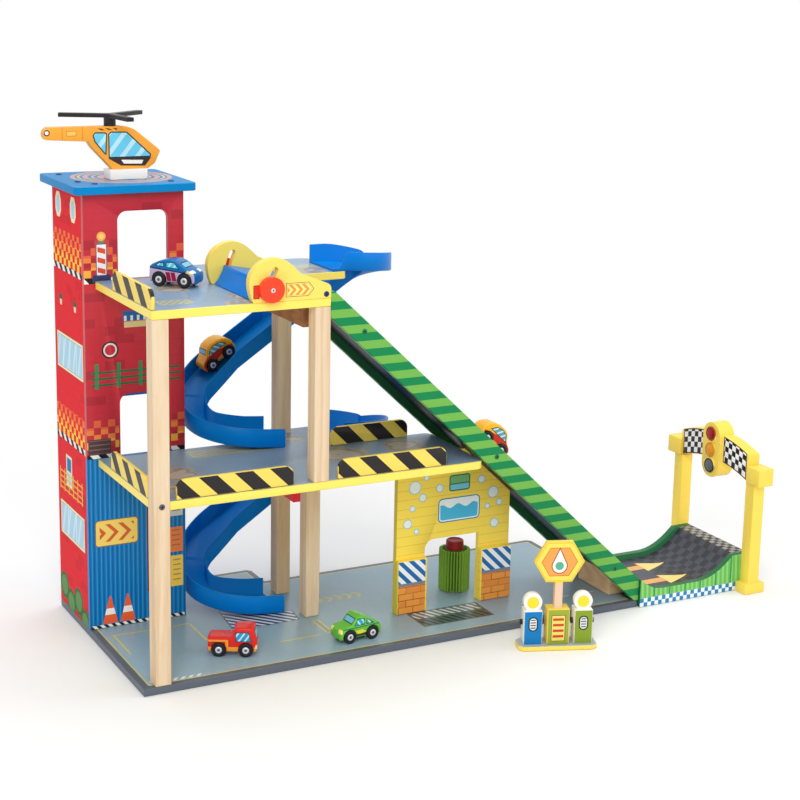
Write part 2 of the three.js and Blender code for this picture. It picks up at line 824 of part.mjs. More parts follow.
add('launcher_tray', join(trayPlate, pivotPin), bluePlastic);

const pinLength = launcherPlate + runGap * 2;
function knob(name, y, pinY) {
  const disc = peg('y', [trayCrest[0], y, trayCrest[1]], knobRadius, knobThickness, 24);
  const pin = peg('y', [trayCrest[0], pinY, trayCrest[1]], knobPinRadius, pinLength, 12);
  add(name, join(disc, pin), knobRed);
}
knob('knob_front', -runGap - knobThickness, trayFront - fitGap - pinLength);
knob('knob_back', rampWidth + runGap, trayFront + trayWidth + fitGap);

// Kicker: side plates with curved tops on a base strip, and the track between them
const kickerEnd = kickerX + kickerLength;
const kickerBack = rampWidth;
const dipStartShare = 0.2;
const dipEndShare = 0.52;
const lipStartShare = 0.84;
const shelfShare = 0.9;
const dipStart = kickerX + kickerLength * dipStartShare;
const dipEnd = kickerX + kickerLength * dipEndShare;
const lipStart = kickerX + kickerLength * lipStartShare;
const shelfX = kickerX + kickerLength * shelfShare;
const kickerShape = new THREE.Shape();
kickerShape.moveTo(kickerX, 0);
kickerShape.lineTo(kickerEnd, 0);
kickerShape.lineTo(kickerEnd, kickerLipHeight);
kickerShape.lineTo(lipStart, kickerLipHeight);
kickerShape.quadraticCurveTo((dipEnd + lipStart) / 2, kickerLowHeight, dipEnd, kickerLowHeight);
kickerShape.lineTo(dipStart, kickerLowHeight);
kickerShape.quadraticCurveTo((kickerX + dipStart) / 2, kickerLowHeight, kickerX, kickerEntryHeight);
const kickerInner = kickerFrontY + kickerSide;
const kickerFarSide = kickerBack - kickerSide;
add('kicker_frame', join(
  frontBoard(kickerShape, kickerFrontY, kickerSide, 8),
  frontBoard(kickerShape, kickerFarSide, kickerSide, 8),
  block([kickerX, kickerFrontY, 0], [kickerLength, kickerBack - kickerFrontY, kickerBase]),
), greenPaint);
const trackBase = kickerBase + fitGap;
const trackLow = trackBase + kickerTrackThickness;
const trackEntry = rampLine(rampEndX, trackRise + trackThickness);
const shelfTop = kickerLipHeight - fitGap;
const kickerTrackShape = new THREE.Shape();
kickerTrackShape.moveTo(kickerX, trackBase);
kickerTrackShape.lineTo(dipEnd, trackBase);
kickerTrackShape.quadraticCurveTo(
  (dipEnd + shelfX) / 2 + kickerTrackThickness, trackBase, shelfX, shelfTop - kickerTrackThickness,
);
kickerTrackShape.lineTo(kickerEnd, shelfTop - kickerTrackThickness);
kickerTrackShape.lineTo(kickerEnd, shelfTop);
kickerTrackShape.lineTo(shelfX - kickerTrackInset, shelfTop);
kickerTrackShape.quadraticCurveTo((dipEnd + shelfX) / 2, trackLow, dipEnd, trackLow);
kickerTrackShape.lineTo(dipStart, trackLow);
kickerTrackShape.quadraticCurveTo((kickerX + dipStart) / 2, trackLow, kickerX, trackEntry);
add('kicker_track', frontBoard(
  kickerTrackShape, kickerInner + fitGap, kickerFarSide - kickerInner - fitGap * 2, 8,
), blackPaint);

// Start gate: a post with its foot and cap on each side of the kicker, and a banded arch
const gateMiddleY = (kickerFrontY + kickerBack) / 2;
const gateInner = (kickerBack - kickerFrontY) / 2 + fitGap;
function gateSide(name, direction) {
  const place = (near, length) => gateMiddleY + (direction > 0 ? near : -near - length);
  add(name, join(
    block([gateX, place(gateInner, gatePost), 0], [gatePost, gatePost, gatePostTop + gateCapHeight / 2]),
    block(
      [gateX - gateFootMargin, place(gateInner, gatePost + gateFootMargin / 2), 0],
      [gatePost + gateFootMargin * 2, gatePost + gateFootMargin / 2, gateFootHeight],
    ),
    block(
      [gateX - gateCapMargin, place(gateInner + gateCapSetback, gateCapLength), gatePostTop],
      [gatePost + gateCapMargin * 2, gateCapLength, gateCapHeight],
    ),
  ), amberPaint);
}
function cutPostTop(mesh, direction) {
  const low = gateMiddleY + (direction > 0 ? gateInner - cutOverrun : -gateInner - gateCapSetback);
  mesh.geometry = cut(mesh.geometry, block(
    [gateX - gateCapMargin - cutOverrun, low, gatePostTop],
    [gatePost + gateCapMargin * 2 + cutOverrun * 2, gateCapSetback + cutOverrun, gateCapHeight],
  ));
}
gateSide('gate_post_front', -1);
gateSide('gate_post_back', 1);
for (const [name, direction] of [['gate_post_front', -1], ['gate_post_back', 1]]) {
  cutPostTop(garage.getObjectByName(name), direction);
}

const bandHalf = gateInner + gateCapSetback - fitGap;
const bandBottom = gatePostTop + fitGap;
const bandShape = new THREE.Shape();
bandShape.moveTo(gateMiddleY - bandHalf, bandBottom);
bandShape.quadraticCurveTo(
  gateMiddleY, bandBottom + gateBandRise * 2, gateMiddleY + bandHalf, bandBottom,
);
bandShape.lineTo(gateMiddleY + bandHalf, bandBottom + gateBandHeight);
bandShape.quadraticCurveTo(
  gateMiddleY, bandBottom + gateBandHeight + gateBandRise * 2, gateMiddleY - bandHalf,
  bandBottom + gateBandHeight,
);
const lampCaseX = gateX - lampCaseProud;
const caseHalf = lampCaseWidth / 2;
const lampCase = sideBoard(roundedOutline(
  gateMiddleY - caseHalf, lampCaseBottom, lampCaseWidth, lampCaseHeight,
  [caseHalf, caseHalf, caseHalf, caseHalf],
), lampCaseX, gatePost + lampCaseProud, 5);
const lampPitch = (lampCaseHeight - lampCaseWidth) / 2 + fitGap;
const lampMiddleZ = lampCaseBottom + lampCaseHeight / 2;
const lamps = [-1, 0, 1].map((row) => peg(
  'x', [lampCaseX - lampDepth, gateMiddleY, lampMiddleZ + row * lampPitch],
  Math.min(lampRadius, lampPitch / 2 - fitGap), lampDepth * 2, 16,
));
add('gate_arch', join(sideBoard(bandShape, gateX, gatePost, 12), lampCase, ...lamps), amberPaint);

// Car wash: an arched wall under the deck and the ramp, with two thicker legs
const washTop = middleBottom - fitGap;
const washTopX = rampLineX(washTop, underTrack);
const washBody = frontBoard(outline([
  [washWallLeft, wallBottom],
  [washWallRight, wallBottom],
  [washWallRight, rampLine(washWallRight, underTrack)],
  [washTopX, washTop],
  [washWallLeft, washTop],
]), washWallY, washWallThickness);
const washArch = frontBoard(roundedOutline(
  washArchLeft, wallBottom - cutOverrun, washArchWidth, washArchHeight + cutOverrun,
  [0, 0, 0, washArchCorner],
), washWallY - washLegProud - cutOverrun, washWallThickness + washLegProud + cutOverrun * 2);
function washLeg(left, right) {
  return block(
    [left, washWallY - washLegProud, wallBottom],
    [right - left, washLegProud + washWallThickness / 2, washLegHeight],
  );
}
add('wash_wall', cut(
  join(
    washBody,
    washLeg(washWallLeft - washLegSpread, washArchLeft),
    washLeg(washArchLeft + washArchWidth, washWallRight),
  ),
  washArch,
), amberPaint);

// Wash brush: a fluted roller with a cap, turning on a spindle
const spindle = join(
  peg('z', [brushX, brushY, wallBottom], spindleRadius, spindleHeight, 16),
  peg('z', [brushX, brushY, wallBottom], brushCapRadius, runGap, 20),
);
add('brush_spindle', spindle, pine);
const fluteShape = new THREE.Shape();
for (let i = 0; i < brushFlutes * 2; i += 1) {
  const radius = brushRadius - (i % 2 === 0 ? 0 : brushFluteDepth);
  const angle = Math.PI * i / brushFlutes;
  if (i === 0) fluteShape.moveTo(radius, 0);
  else fluteShape.lineTo(radius * Math.cos(angle), radius * Math.sin(angle));
}
const brushBottom = wallBottom + runGap + fitGap;
const boreDepth = spindleHeight + runGap;
const roller = flatBoard(fluteShape, brushBottom, brushHeight).translate(brushX, brushY, 0);
const rollerCap = peg('z', [brushX, brushY, brushBottom + brushHeight - runGap], brushCapRadius,
  brushCapHeight + runGap, 24);
const brushBore = peg('z', [brushX, brushY, brushBottom - cutOverrun], brushBoreRadius,
  boreDepth - (brushBottom - wallBottom) + cutOverrun, 16);
add('brush_roller', cut(join(roller, rollerCap), brushBore), brushGreen);

// Helicopter on its stand, with a rotor on a mast
const heliShares = [
  [0.02, 0.72], [0.375, 0.66], [0.405, 0.52], [0.583, 0], [0.892, 0], [0.954, 0.12], [1, 0.4],
  [0.99, 0.44], [0.784, 0.9], [0.73, 0.97], [0.66, 1], [0.04, 1], [0.01, 0.94], [0, 0.86],
  [0.005, 0.77],
];
const roofTop = towerTop + fitGap + roofThickness;
const heliFloor = roofTop + fitGap + heliStandHeight;
const heliBody = frontBoard(outline(heliShares.map(([along, up]) => [
  heliTail + heliLength * along, heliFloor + heliHeight * up,
])), heliY, heliThickness);
const heliStand = block(
  [heliStandX, heliY - heliStandMargin, roofTop + fitGap],
  [heliStandLength, heliThickness + heliStandMargin * 2, heliStandHeight],
);
const heliMiddleY = heliY + heliThickness / 2;
const heliTop = heliFloor + heliHeight;
const mastTop = heliTop + rotorHubHeight - hubCap - fitGap;
const mast = peg('z', [rotorX, heliMiddleY, heliTop - mastRoot], mastRadius,
  mastTop - heliTop + mastRoot, 12);
add('helicopter_body', join(heliBody, heliStand, mast), orangePaint);
const rotorZ = heliTop + fitGap;
const rotorHub = peg('z', [rotorX, heliMiddleY, rotorZ], rotorHubRadius, rotorHubHeight, 16);
const rotorBore = peg('z', [rotorX, heliMiddleY, rotorZ - cutOverrun],
  (mastRadius + fitGap) / Math.cos(Math.PI / 12), rotorHubHeight - hubCap + cutOverrun, 12);
const blades = [0, 1, 2].map((blade) => block(
  [0, -bladeWidth / 2, rotorZ + rotorHubHeight - bladeThickness],
  [bladeLength, bladeWidth, bladeThickness],
).rotateZ(firstBlade + blade * Math.PI * 2 / 3).translate(rotorX, heliMiddleY, 0));
add('helicopter_rotor', cut(join(rotorHub, ...blades), rotorBore), rotorBlack);

// Fuel station: a free-standing plate with a kiosk, a sign on a post and two pumps
const station = new THREE.Group();
station.position.set(stationX, stationY, 0);
station.rotation.z = stationYaw;
garage.add(station);
add('station_base', flatBoard(outline([
  [stationChamfer, 0],
  [stationLength - stationChamfer, 0],
  [stationLength, stationChamfer],
  [stationLength, stationDepth - stationChamfer],
  [stationLength - stationChamfer, stationDepth],
  [stationChamfer, stationDepth],
  [0, stationDepth - stationChamfer],
  [0, stationChamfer],
]), 0, stationBase), yellowPaint, station);
const stationTop = stationBase + fitGap;
const pumpY = (stationDepth - pumpDepth) / 2;
const stationMiddleY = stationDepth / 2;
const globeShare = 0.8;
const knobShare = 0.62;
const globeZ = stationTop + pumpHeight + globeRadius * globeShare;
function pump(name, x, material) {
  const centreX = x + pumpWidth / 2;
  add(name, join(
    block([x, pumpY, stationTop], [pumpWidth, pumpDepth, pumpHeight]),
    peg('y', [centreX, stationMiddleY - globeThickness / 2, globeZ], globeRadius, globeThickness, 24),
    peg('x', [x - pumpKnobLength, stationMiddleY, stationTop + pumpHeight * knobShare],
      pumpKnobRadius, pumpWidth + pumpKnobLength * 2, 12),
  ), material, station);
}
pump('pump_blue', pumpInset, pumpBlue);
pump('pump_green', stationLength - pumpInset - pumpWidth, pumpGreen);
const kioskX = (stationLength - kioskWidth) / 2;
const kiosk = block([kioskX, pumpY, stationTop], [kioskWidth, pumpDepth, kioskHeight]);
const signPostZ = stationTop + kioskHeight - runGap;
const signZ = signPostZ + signPostHeight - runGap;
const signX = (stationLength - signWidth) / 2;
const signCutShare = 0.24;
const signSideShare = 0.5;
const signMiddleY = stationMiddleY - signThickness / 2;
const signPlate = frontBoard(outline([
  [signX + signWidth * signCutShare, signZ],
  [signX + signWidth * (1 - signCutShare), signZ],
  [signX + signWidth, signZ + signHeight * signSideShare],
  [signX + signWidth * (1 - signCutShare), signZ + signHeight],
  [signX + signWidth * signCutShare, signZ + signHeight],
  [signX, signZ + signHeight * signSideShare],
]), signMiddleY, signThickness);
const signPostX = (stationLength - signPostWidth) / 2;
const signPost = block(
  [signPostX, stationMiddleY - signPostWidth / 2, signPostZ],
  [signPostWidth, signPostWidth, signPostHeight],
);
add('station_kiosk', join(kiosk, signPost, signPlate), yellowPaint, station);

// Cars: a wooden body with four wheel wells and two axle bores, and two wheel sets
const coupeShares = [
  [0, 0], [1, 0], [1, 0.42], [0.95, 0.52], [0.78, 0.66], [0.62, 0.9], [0.5, 1], [0.38, 1],
  [0.2, 0.9], [0.05, 0.74], [0, 0.6],
];
const truckShares = [
  [0, 0], [1, 0], [1, 0.5], [0.97, 0.7], [0.93, 0.96], [0.88, 1], [0.56, 1], [0.51, 0.96],
  [0.49, 0.62], [0.03, 0.62], [0, 0.55],
];
const bubbleShares = [
  [0, 0], [1, 0], [1, 0.3], [0.94, 0.46], [0.8, 0.56], [0.66, 0.9], [0.55, 1], [0.34, 1],
  [0.14, 0.86], [0.03, 0.6], [0, 0.4],
];
const fastbackShares = [
  [0, 0], [1, 0], [1, 0.42], [0.94, 0.54], [0.7, 0.6], [0.58, 0.98], [0.5, 1], [0.4, 0.94],
  [0.2, 0.7], [0.03, 0.5], [0, 0.36],
];
const wheelInner = wheelTrack / 2 - wheelWidth;
const wheelOuter = wheelTrack / 2;
const wellInner = wheelInner - runGap / 2;
const axleHeight = wheelRadius;
const axleHole = (axleRadius + axlePlay) / Math.cos(Math.PI / axleSides);

function wheelSet(name, x, parent) {
  const profile = [
    [0, -wheelOuter], [wheelRadius - runGap, -wheelOuter], [wheelRadius, runGap - wheelOuter],
    [wheelRadius, -wheelInner - runGap], [wheelRadius - runGap, -wheelInner],
    [axleRadius, -wheelInner], [axleRadius, wheelInner], [wheelRadius - runGap, wheelInner],
    [wheelRadius, wheelInner + runGap], [wheelRadius, wheelOuter - runGap],
    [wheelRadius - runGap, wheelOuter], [0, wheelOuter],
  ].map(([radius, along]) => new THREE.Vector2(radius, along));
  const set = add(name, new THREE.LatheGeometry(profile, wheelSides), tyreBlack, parent);
  set.position.set(x, 0, axleHeight);
}

function car(name, shares, length, height, material, place, base = wheelBase) {
  const group = new THREE.Group();
  group.rotation.order = 'ZYX';
  group.position.set(place.x, place.y, place.z);
  group.rotation.z = place.yaw;
  group.rotation.y = place.pitch ?? 0;
  garage.add(group);
  const points = shares.map(([along, up]) => new THREE.Vector2(
    (along - 0.5) * (length - carBevel * 2), carFloor + carBevel + (height - carBevel * 2) * up,
  ));
  const shell = new THREE.ExtrudeGeometry(new THREE.Shape(points), {
    depth: carWidth - carBevel * 2, bevelEnabled: true, bevelThickness: carBevel,
    bevelSize: carBevel, bevelSegments: 1,
  }).rotateX(Math.PI / 2).translate(0, carWidth / 2 - carBevel, 0);
  const cutters = [];
  for (const end of [-1, 1]) {
    const x = end * base / 2;
    cutters.push(peg('y', [x, -wheelOuter - cutOverrun, axleHeight], wheelWell,
      wheelOuter + cutOverrun - wellInner, 16));
    cutters.push(peg('y', [x, wellInner, axleHeight], wheelWell,
      wheelOuter + cutOverrun - wellInner, 16));
    cutters.push(peg('y', [x, -wheelOuter, axleHeight], axleHole, wheelTrack, axleSides));
  }
  add(`${name}_body`, cut(shell, ...cutters), material, group);
  wheelSet(`${name}_front_wheels`, base / 2, group);
  wheelSet(`${name}_rear_wheels`, -base / 2, group);
}

const degree = Math.PI / 180;
const blueCar = { x: 114, y: 166, z: upperTop + fitGap, yaw: -46 * degree };
const truck = { x: 164, y: 72, z: baseTop + fitGap, yaw: -28 * degree };
const greenCar = { x: 354, y: 48, z: baseTop + fitGap, yaw: -174 * degree };
const rampCarX = 562;
const rampCarY = 33;
const trackTop = trackRise + trackThickness + fitGap;
const rampCar = { x: rampCarX, y: rampCarY, z: rampLine(rampCarX, trackTop), yaw: 0, pitch: rampAngle };

// The lane car rides the upper spiral, near the start of its left turn
function lanePoint(travelled) {
  const after = spiralStations.findIndex((station) => station.travelled >= travelled);
  const next = spiralStations[after];
  const last = spiralStations[after - 1];
  const share = (travelled - last.travelled) / (next.travelled - last.travelled);
  const mix = (a, b) => a + (b - a) * share;
  return {
    x: mix(last.middle[0], next.middle[0]),
    y: mix(last.middle[1], next.middle[1]),
    z: upperTop + fitGap + channelWall - mix(last.drop, next.drop),
  };
}
const leftTurnStart = spiralStations.find(
  ({ middle: [x, y] }) => x <= leftTurnX && y > turnCentreY,
).travelled;
const laneCarRear = lanePoint(leftTurnStart + laneCarPast - bubbleWheelBase / 2);
const laneCarFront = lanePoint(leftTurnStart + laneCarPast + bubbleWheelBase / 2);
const laneRun = Math.hypot(laneCarFront.x - laneCarRear.x, laneCarFront.y - laneCarRear.y);
const laneYaw = Math.atan2(laneCarFront.y - laneCarRear.y, laneCarFront.x - laneCarRear.x);
const laneCar = {
  x: (laneCarRear.x + laneCarFront.x) / 2 + laneCarShift * Math.sin(laneYaw),
  y: (laneCarRear.y + laneCarFront.y) / 2 - laneCarShift * Math.cos(laneYaw),
  z: (laneCarRear.z + laneCarFront.z) / 2 + laneCarLift,
  yaw: laneYaw,
  pitch: Math.atan2(laneCarRear.z - laneCarFront.z, laneRun),
};
car('blue_car', coupeShares, carLength, carHeight, carBlue, blueCar);
car('red_truck', truckShares, carLength, truckHeight, truckRed, truck);
car('green_car', fastbackShares, carLength, carHeight, carGreen, greenCar);
car('ramp_car', bubbleShares, bubbleLength, carHeight, carYellow, rampCar, bubbleWheelBase);
car('lane_car', bubbleShares, bubbleLength, carHeight, carYellow, laneCar, bubbleWheelBase);

export default garage;
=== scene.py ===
# %% [markdown]
# # A wooden toy parking garage
#
# The object is a toy garage of painted and printed boards on pine posts. A lift tower, two
# decks, two plastic spirals, a launcher, a long ramp and five cars stand on one base board.
# The frame gives every piece its size and place. This script gives the pieces soft edges,
# printed finishes, wheels, screws and lamps, and sets up the light and the camera.

# %% Load the frame
import json
import math

import bmesh
import bpy
from mathutils import Matrix, Vector


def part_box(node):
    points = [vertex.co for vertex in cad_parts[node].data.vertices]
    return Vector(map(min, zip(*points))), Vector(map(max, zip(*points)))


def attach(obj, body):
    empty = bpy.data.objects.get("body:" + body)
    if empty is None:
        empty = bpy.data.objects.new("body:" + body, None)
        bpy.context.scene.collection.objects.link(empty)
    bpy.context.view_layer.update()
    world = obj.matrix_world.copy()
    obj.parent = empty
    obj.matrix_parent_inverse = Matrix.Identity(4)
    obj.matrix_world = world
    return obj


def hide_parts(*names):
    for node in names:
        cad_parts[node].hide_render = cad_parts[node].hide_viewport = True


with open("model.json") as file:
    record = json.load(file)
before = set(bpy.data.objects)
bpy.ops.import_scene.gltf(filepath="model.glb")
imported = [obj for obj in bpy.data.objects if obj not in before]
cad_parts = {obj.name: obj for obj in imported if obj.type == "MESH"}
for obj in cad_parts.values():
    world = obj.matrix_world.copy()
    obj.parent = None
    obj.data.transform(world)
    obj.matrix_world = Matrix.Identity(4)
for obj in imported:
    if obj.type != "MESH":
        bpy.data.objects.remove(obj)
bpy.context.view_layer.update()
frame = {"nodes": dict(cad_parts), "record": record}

nodes = frame["nodes"]
record = frame["record"]

# %% [markdown]
# ## Millimetres from the board's corner
#
# A maker measures a board from its front left corner, in millimetres. Blender works in
# metres from the middle of the base. One value and one function turn the first into the
# second, so that every size below can be read off like a drawing.

# %% Where things are
MM = 0.001
CORNER = Vector(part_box("base_board")[0])
FRONT = (0, -1, 0)
BACK = (0, 1, 0)
UP = (0, 0, 1)


def spot(x, y, z):
    """A point in metres from millimetres that are counted from the board's corner."""
    return CORNER + Vector((x, y, z)) * MM


def box_mm(node):
    """The lowest and highest corner of a node, in millimetres from the board's corner."""
    return [(Vector(corner) - CORNER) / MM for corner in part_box(node)]


HOME = {
    node: body
    for body, members in record["behaviour"]["bodies"].items()
    for node in members
}
base_low, base_high = box_mm("base_board")
print("base board, mm:", [round(side) for side in base_high - base_low])

# %% [markdown]
# ## Camera
#
# The photograph looks down a little from the front left. A long lens keeps the posts nearly
# upright. The shift moves the frame to the object without turning the camera.

# %% Camera
CAMERA_PLACE = spot(-756.3, -2179.5, 1017.3)
CAMERA_AZIMUTH = math.radians(28)
CAMERA_ELEVATION = math.radians(12.329)
CAMERA_ROLL = math.radians(1.22)

back = Vector((
    -math.sin(CAMERA_AZIMUTH) * math.cos(CAMERA_ELEVATION),
    -math.cos(CAMERA_AZIMUTH) * math.cos(CAMERA_ELEVATION),
    math.sin(CAMERA_ELEVATION),
))
level_right = Vector(UP).cross(back).normalized()
level_up = back.cross(level_right)
right = math.cos(CAMERA_ROLL) * level_right + math.sin(CAMERA_ROLL) * level_up
up = math.cos(CAMERA_ROLL) * level_up - math.sin(CAMERA_ROLL) * level_right

lens = bpy.data.cameras.new("camera")
lens.lens = 78.3
lens.sensor_width = 36
lens.shift_x = -0.0061
lens.shift_y = -0.0730


def placed(name, content, matrix=Matrix()):
    """A new object with that content, in its place in the scene."""
    made = bpy.data.objects.new(name, content)
    made.matrix_world = matrix
    bpy.context.collection.objects.link(made)
    return made


view_turn = Matrix((right, up, back)).transposed().to_4x4()
bpy.context.scene.camera = placed("camera", lens, Matrix.Translation(CAMERA_PLACE) @ view_turn)
bpy.context.scene.view_settings.view_transform = "Standard"

# %% [markdown]
# ## Node trees by calls
#
# Blender's materials, its world and its Geometry Nodes are all trees of nodes. `Tree` wraps
# one, so that a node with all its inputs, or a sum of two values, takes one line below.

# %% The tree kit
class Tree:
    """A node tree that grows by calls. A value is a socket or something plain."""

    def __init__(self, tree):
        self.tree = tree

    def link(self, value, socket):
        if isinstance(value, bpy.types.NodeSocket):
            self.tree.links.new(value, socket)
        else:
            socket.default_value = value

    def feed(self, inputs, values):
        """Gives values to inputs that are named or counted from 0."""
        for key, value in values.items():
            self.link(value, inputs[key])

    def node(self, kind, values=None, **settings):
        """A new node with its settings and inputs. Returns its outputs."""
        made = self.tree.nodes.new(kind)
        for key, value in settings.items():
            setattr(made, key, value)
        self.feed(made.inputs, values or {})
        return made.outputs

    def math(self, operation, *values):
        return self.node("ShaderNodeMath", dict(enumerate(values)), operation=operation)[0]


# %% [markdown]
# ## Light and floor
#
# A catalogue photograph has soft light from all round and a white ground. The world gives
# even light, three large lamps shape the edges, and the pale floor keeps a faint shadow. The
# camera sees pure white far off, and so does a ray off a shine or through glass.

# %% Light
WHITE = (1, 1, 1, 1)
LIGHT_AIM = (0, 0, 0.3)
AMBIENT = 0.62


def lamp(name, place, size, power):
    """A square soft box that points at the object, with its place and size in metres."""
    light = bpy.data.lights.new(name, "AREA")
    light.size = size
    light.energy = power
    turn = (Vector(place) - Vector(LIGHT_AIM)).to_track_quat("Z", "Y")
    placed(name, light, Matrix.Translation(place) @ turn.to_matrix().to_4x4())


lamp("key", (-1.6, -2.6, 2.6), 1.8, 62)
lamp("fill", (2.6, -1.6, 1.6), 1.8, 16)
lamp("top", (0.2, 0.6, 3.0), 2.2, 30)


def plain_view(tree):
    """1 for a ray from the camera, off a shine or through glass, and 0 for all others."""
    path = tree.node("ShaderNodeLightPath")
    shown = tree.math("MAXIMUM", path["Is Camera Ray"], path["Is Glossy Ray"])
    return tree.math("MAXIMUM", shown, path["Is Transmission Ray"])


world = bpy.data.worlds.new("studio")
bpy.context.scene.world = world
world.use_nodes = True
sky = Tree(world.node_tree)
ambient = sky.node("ShaderNodeBackground", {"Color": WHITE, "Strength": AMBIENT})[0]
seen = sky.node("ShaderNodeBackground", {"Color": WHITE, "Strength": 1.0})[0]
chosen = sky.node("ShaderNodeMixShader", {0: plain_view(sky), 1: ambient, 2: seen})[0]
sky.link(chosen, world.node_tree.nodes["World Output"].inputs["Surface"])

# %% Floor
FLOOR_HALF = 6.0
FLOOR_DROP = -0.0006
PALE = (0.93, 0.93, 0.93, 1)
NEAR = 0.55
FAR = 1.1

floor_mesh = bpy.data.meshes.new("floor")
floor_mesh.from_pydata(
    [(x * FLOOR_HALF, y * FLOOR_HALF, FLOOR_DROP) for x, y in ((-1, -1), (1, -1), (1, 1), (-1, 1))],
    [], [(0, 1, 2, 3)],
)
placed("floor", floor_mesh)
floor_paint = bpy.data.materials.new("pale floor")
floor_paint.use_nodes = True
floor_mesh.materials.append(floor_paint)
floor = Tree(floor_paint.node_tree)
near_paint = floor.tree.nodes["Principled BSDF"]
floor.feed(near_paint.inputs, {"Base Color": PALE, "Roughness": 0.9, "Specular IOR Level": 0.1})
far_white = floor.node("ShaderNodeEmission", {"Color": WHITE})[0]
own_place = floor.node("ShaderNodeTexCoord")["Object"]
distance = floor.node("ShaderNodeVectorMath", {0: own_place}, operation="LENGTH")["Value"]
far = floor.node("ShaderNodeMapRange", {"Value": distance, "From Min": NEAR, "From Max": FAR})[0]
far_and_seen = floor.math("MULTIPLY", far, plain_view(floor))
ground = floor.node("ShaderNodeMixShader", {0: far_and_seen, 1: near_paint.outputs[0], 2: far_white})[0]
floor.link(ground, floor.tree.nodes["Material Output"].inputs["Surface"])

# %% [markdown]
# ## A kit for printed finishes
#
# Nearly every board carries a paper print: bricks, checks, hazard stripes, windows, road
# lines. Each is a flat colour inside a simple outline, so a finish is built like a print, one
# colour at a time. A shape is a number that is below zero inside its outline. `lay` paints
# a colour where the number is below zero, and a shape that is shrunk a little leaves a rim.
# `lie` says which face the next prints lie on, and which two coordinates run over it.

# %% The finish kit
def ink(red, green, blue):
    """A colour as a painter's chart gives it, 0 to 255, turned into Blender's linear light."""
    channels = [value / 255 for value in (red, green, blue)]
    return [c / 12.92 if c <= 0.04045 else ((c + 0.055) / 1.055) ** 2.4 for c in channels] + [1]


STEEP = 1000.0


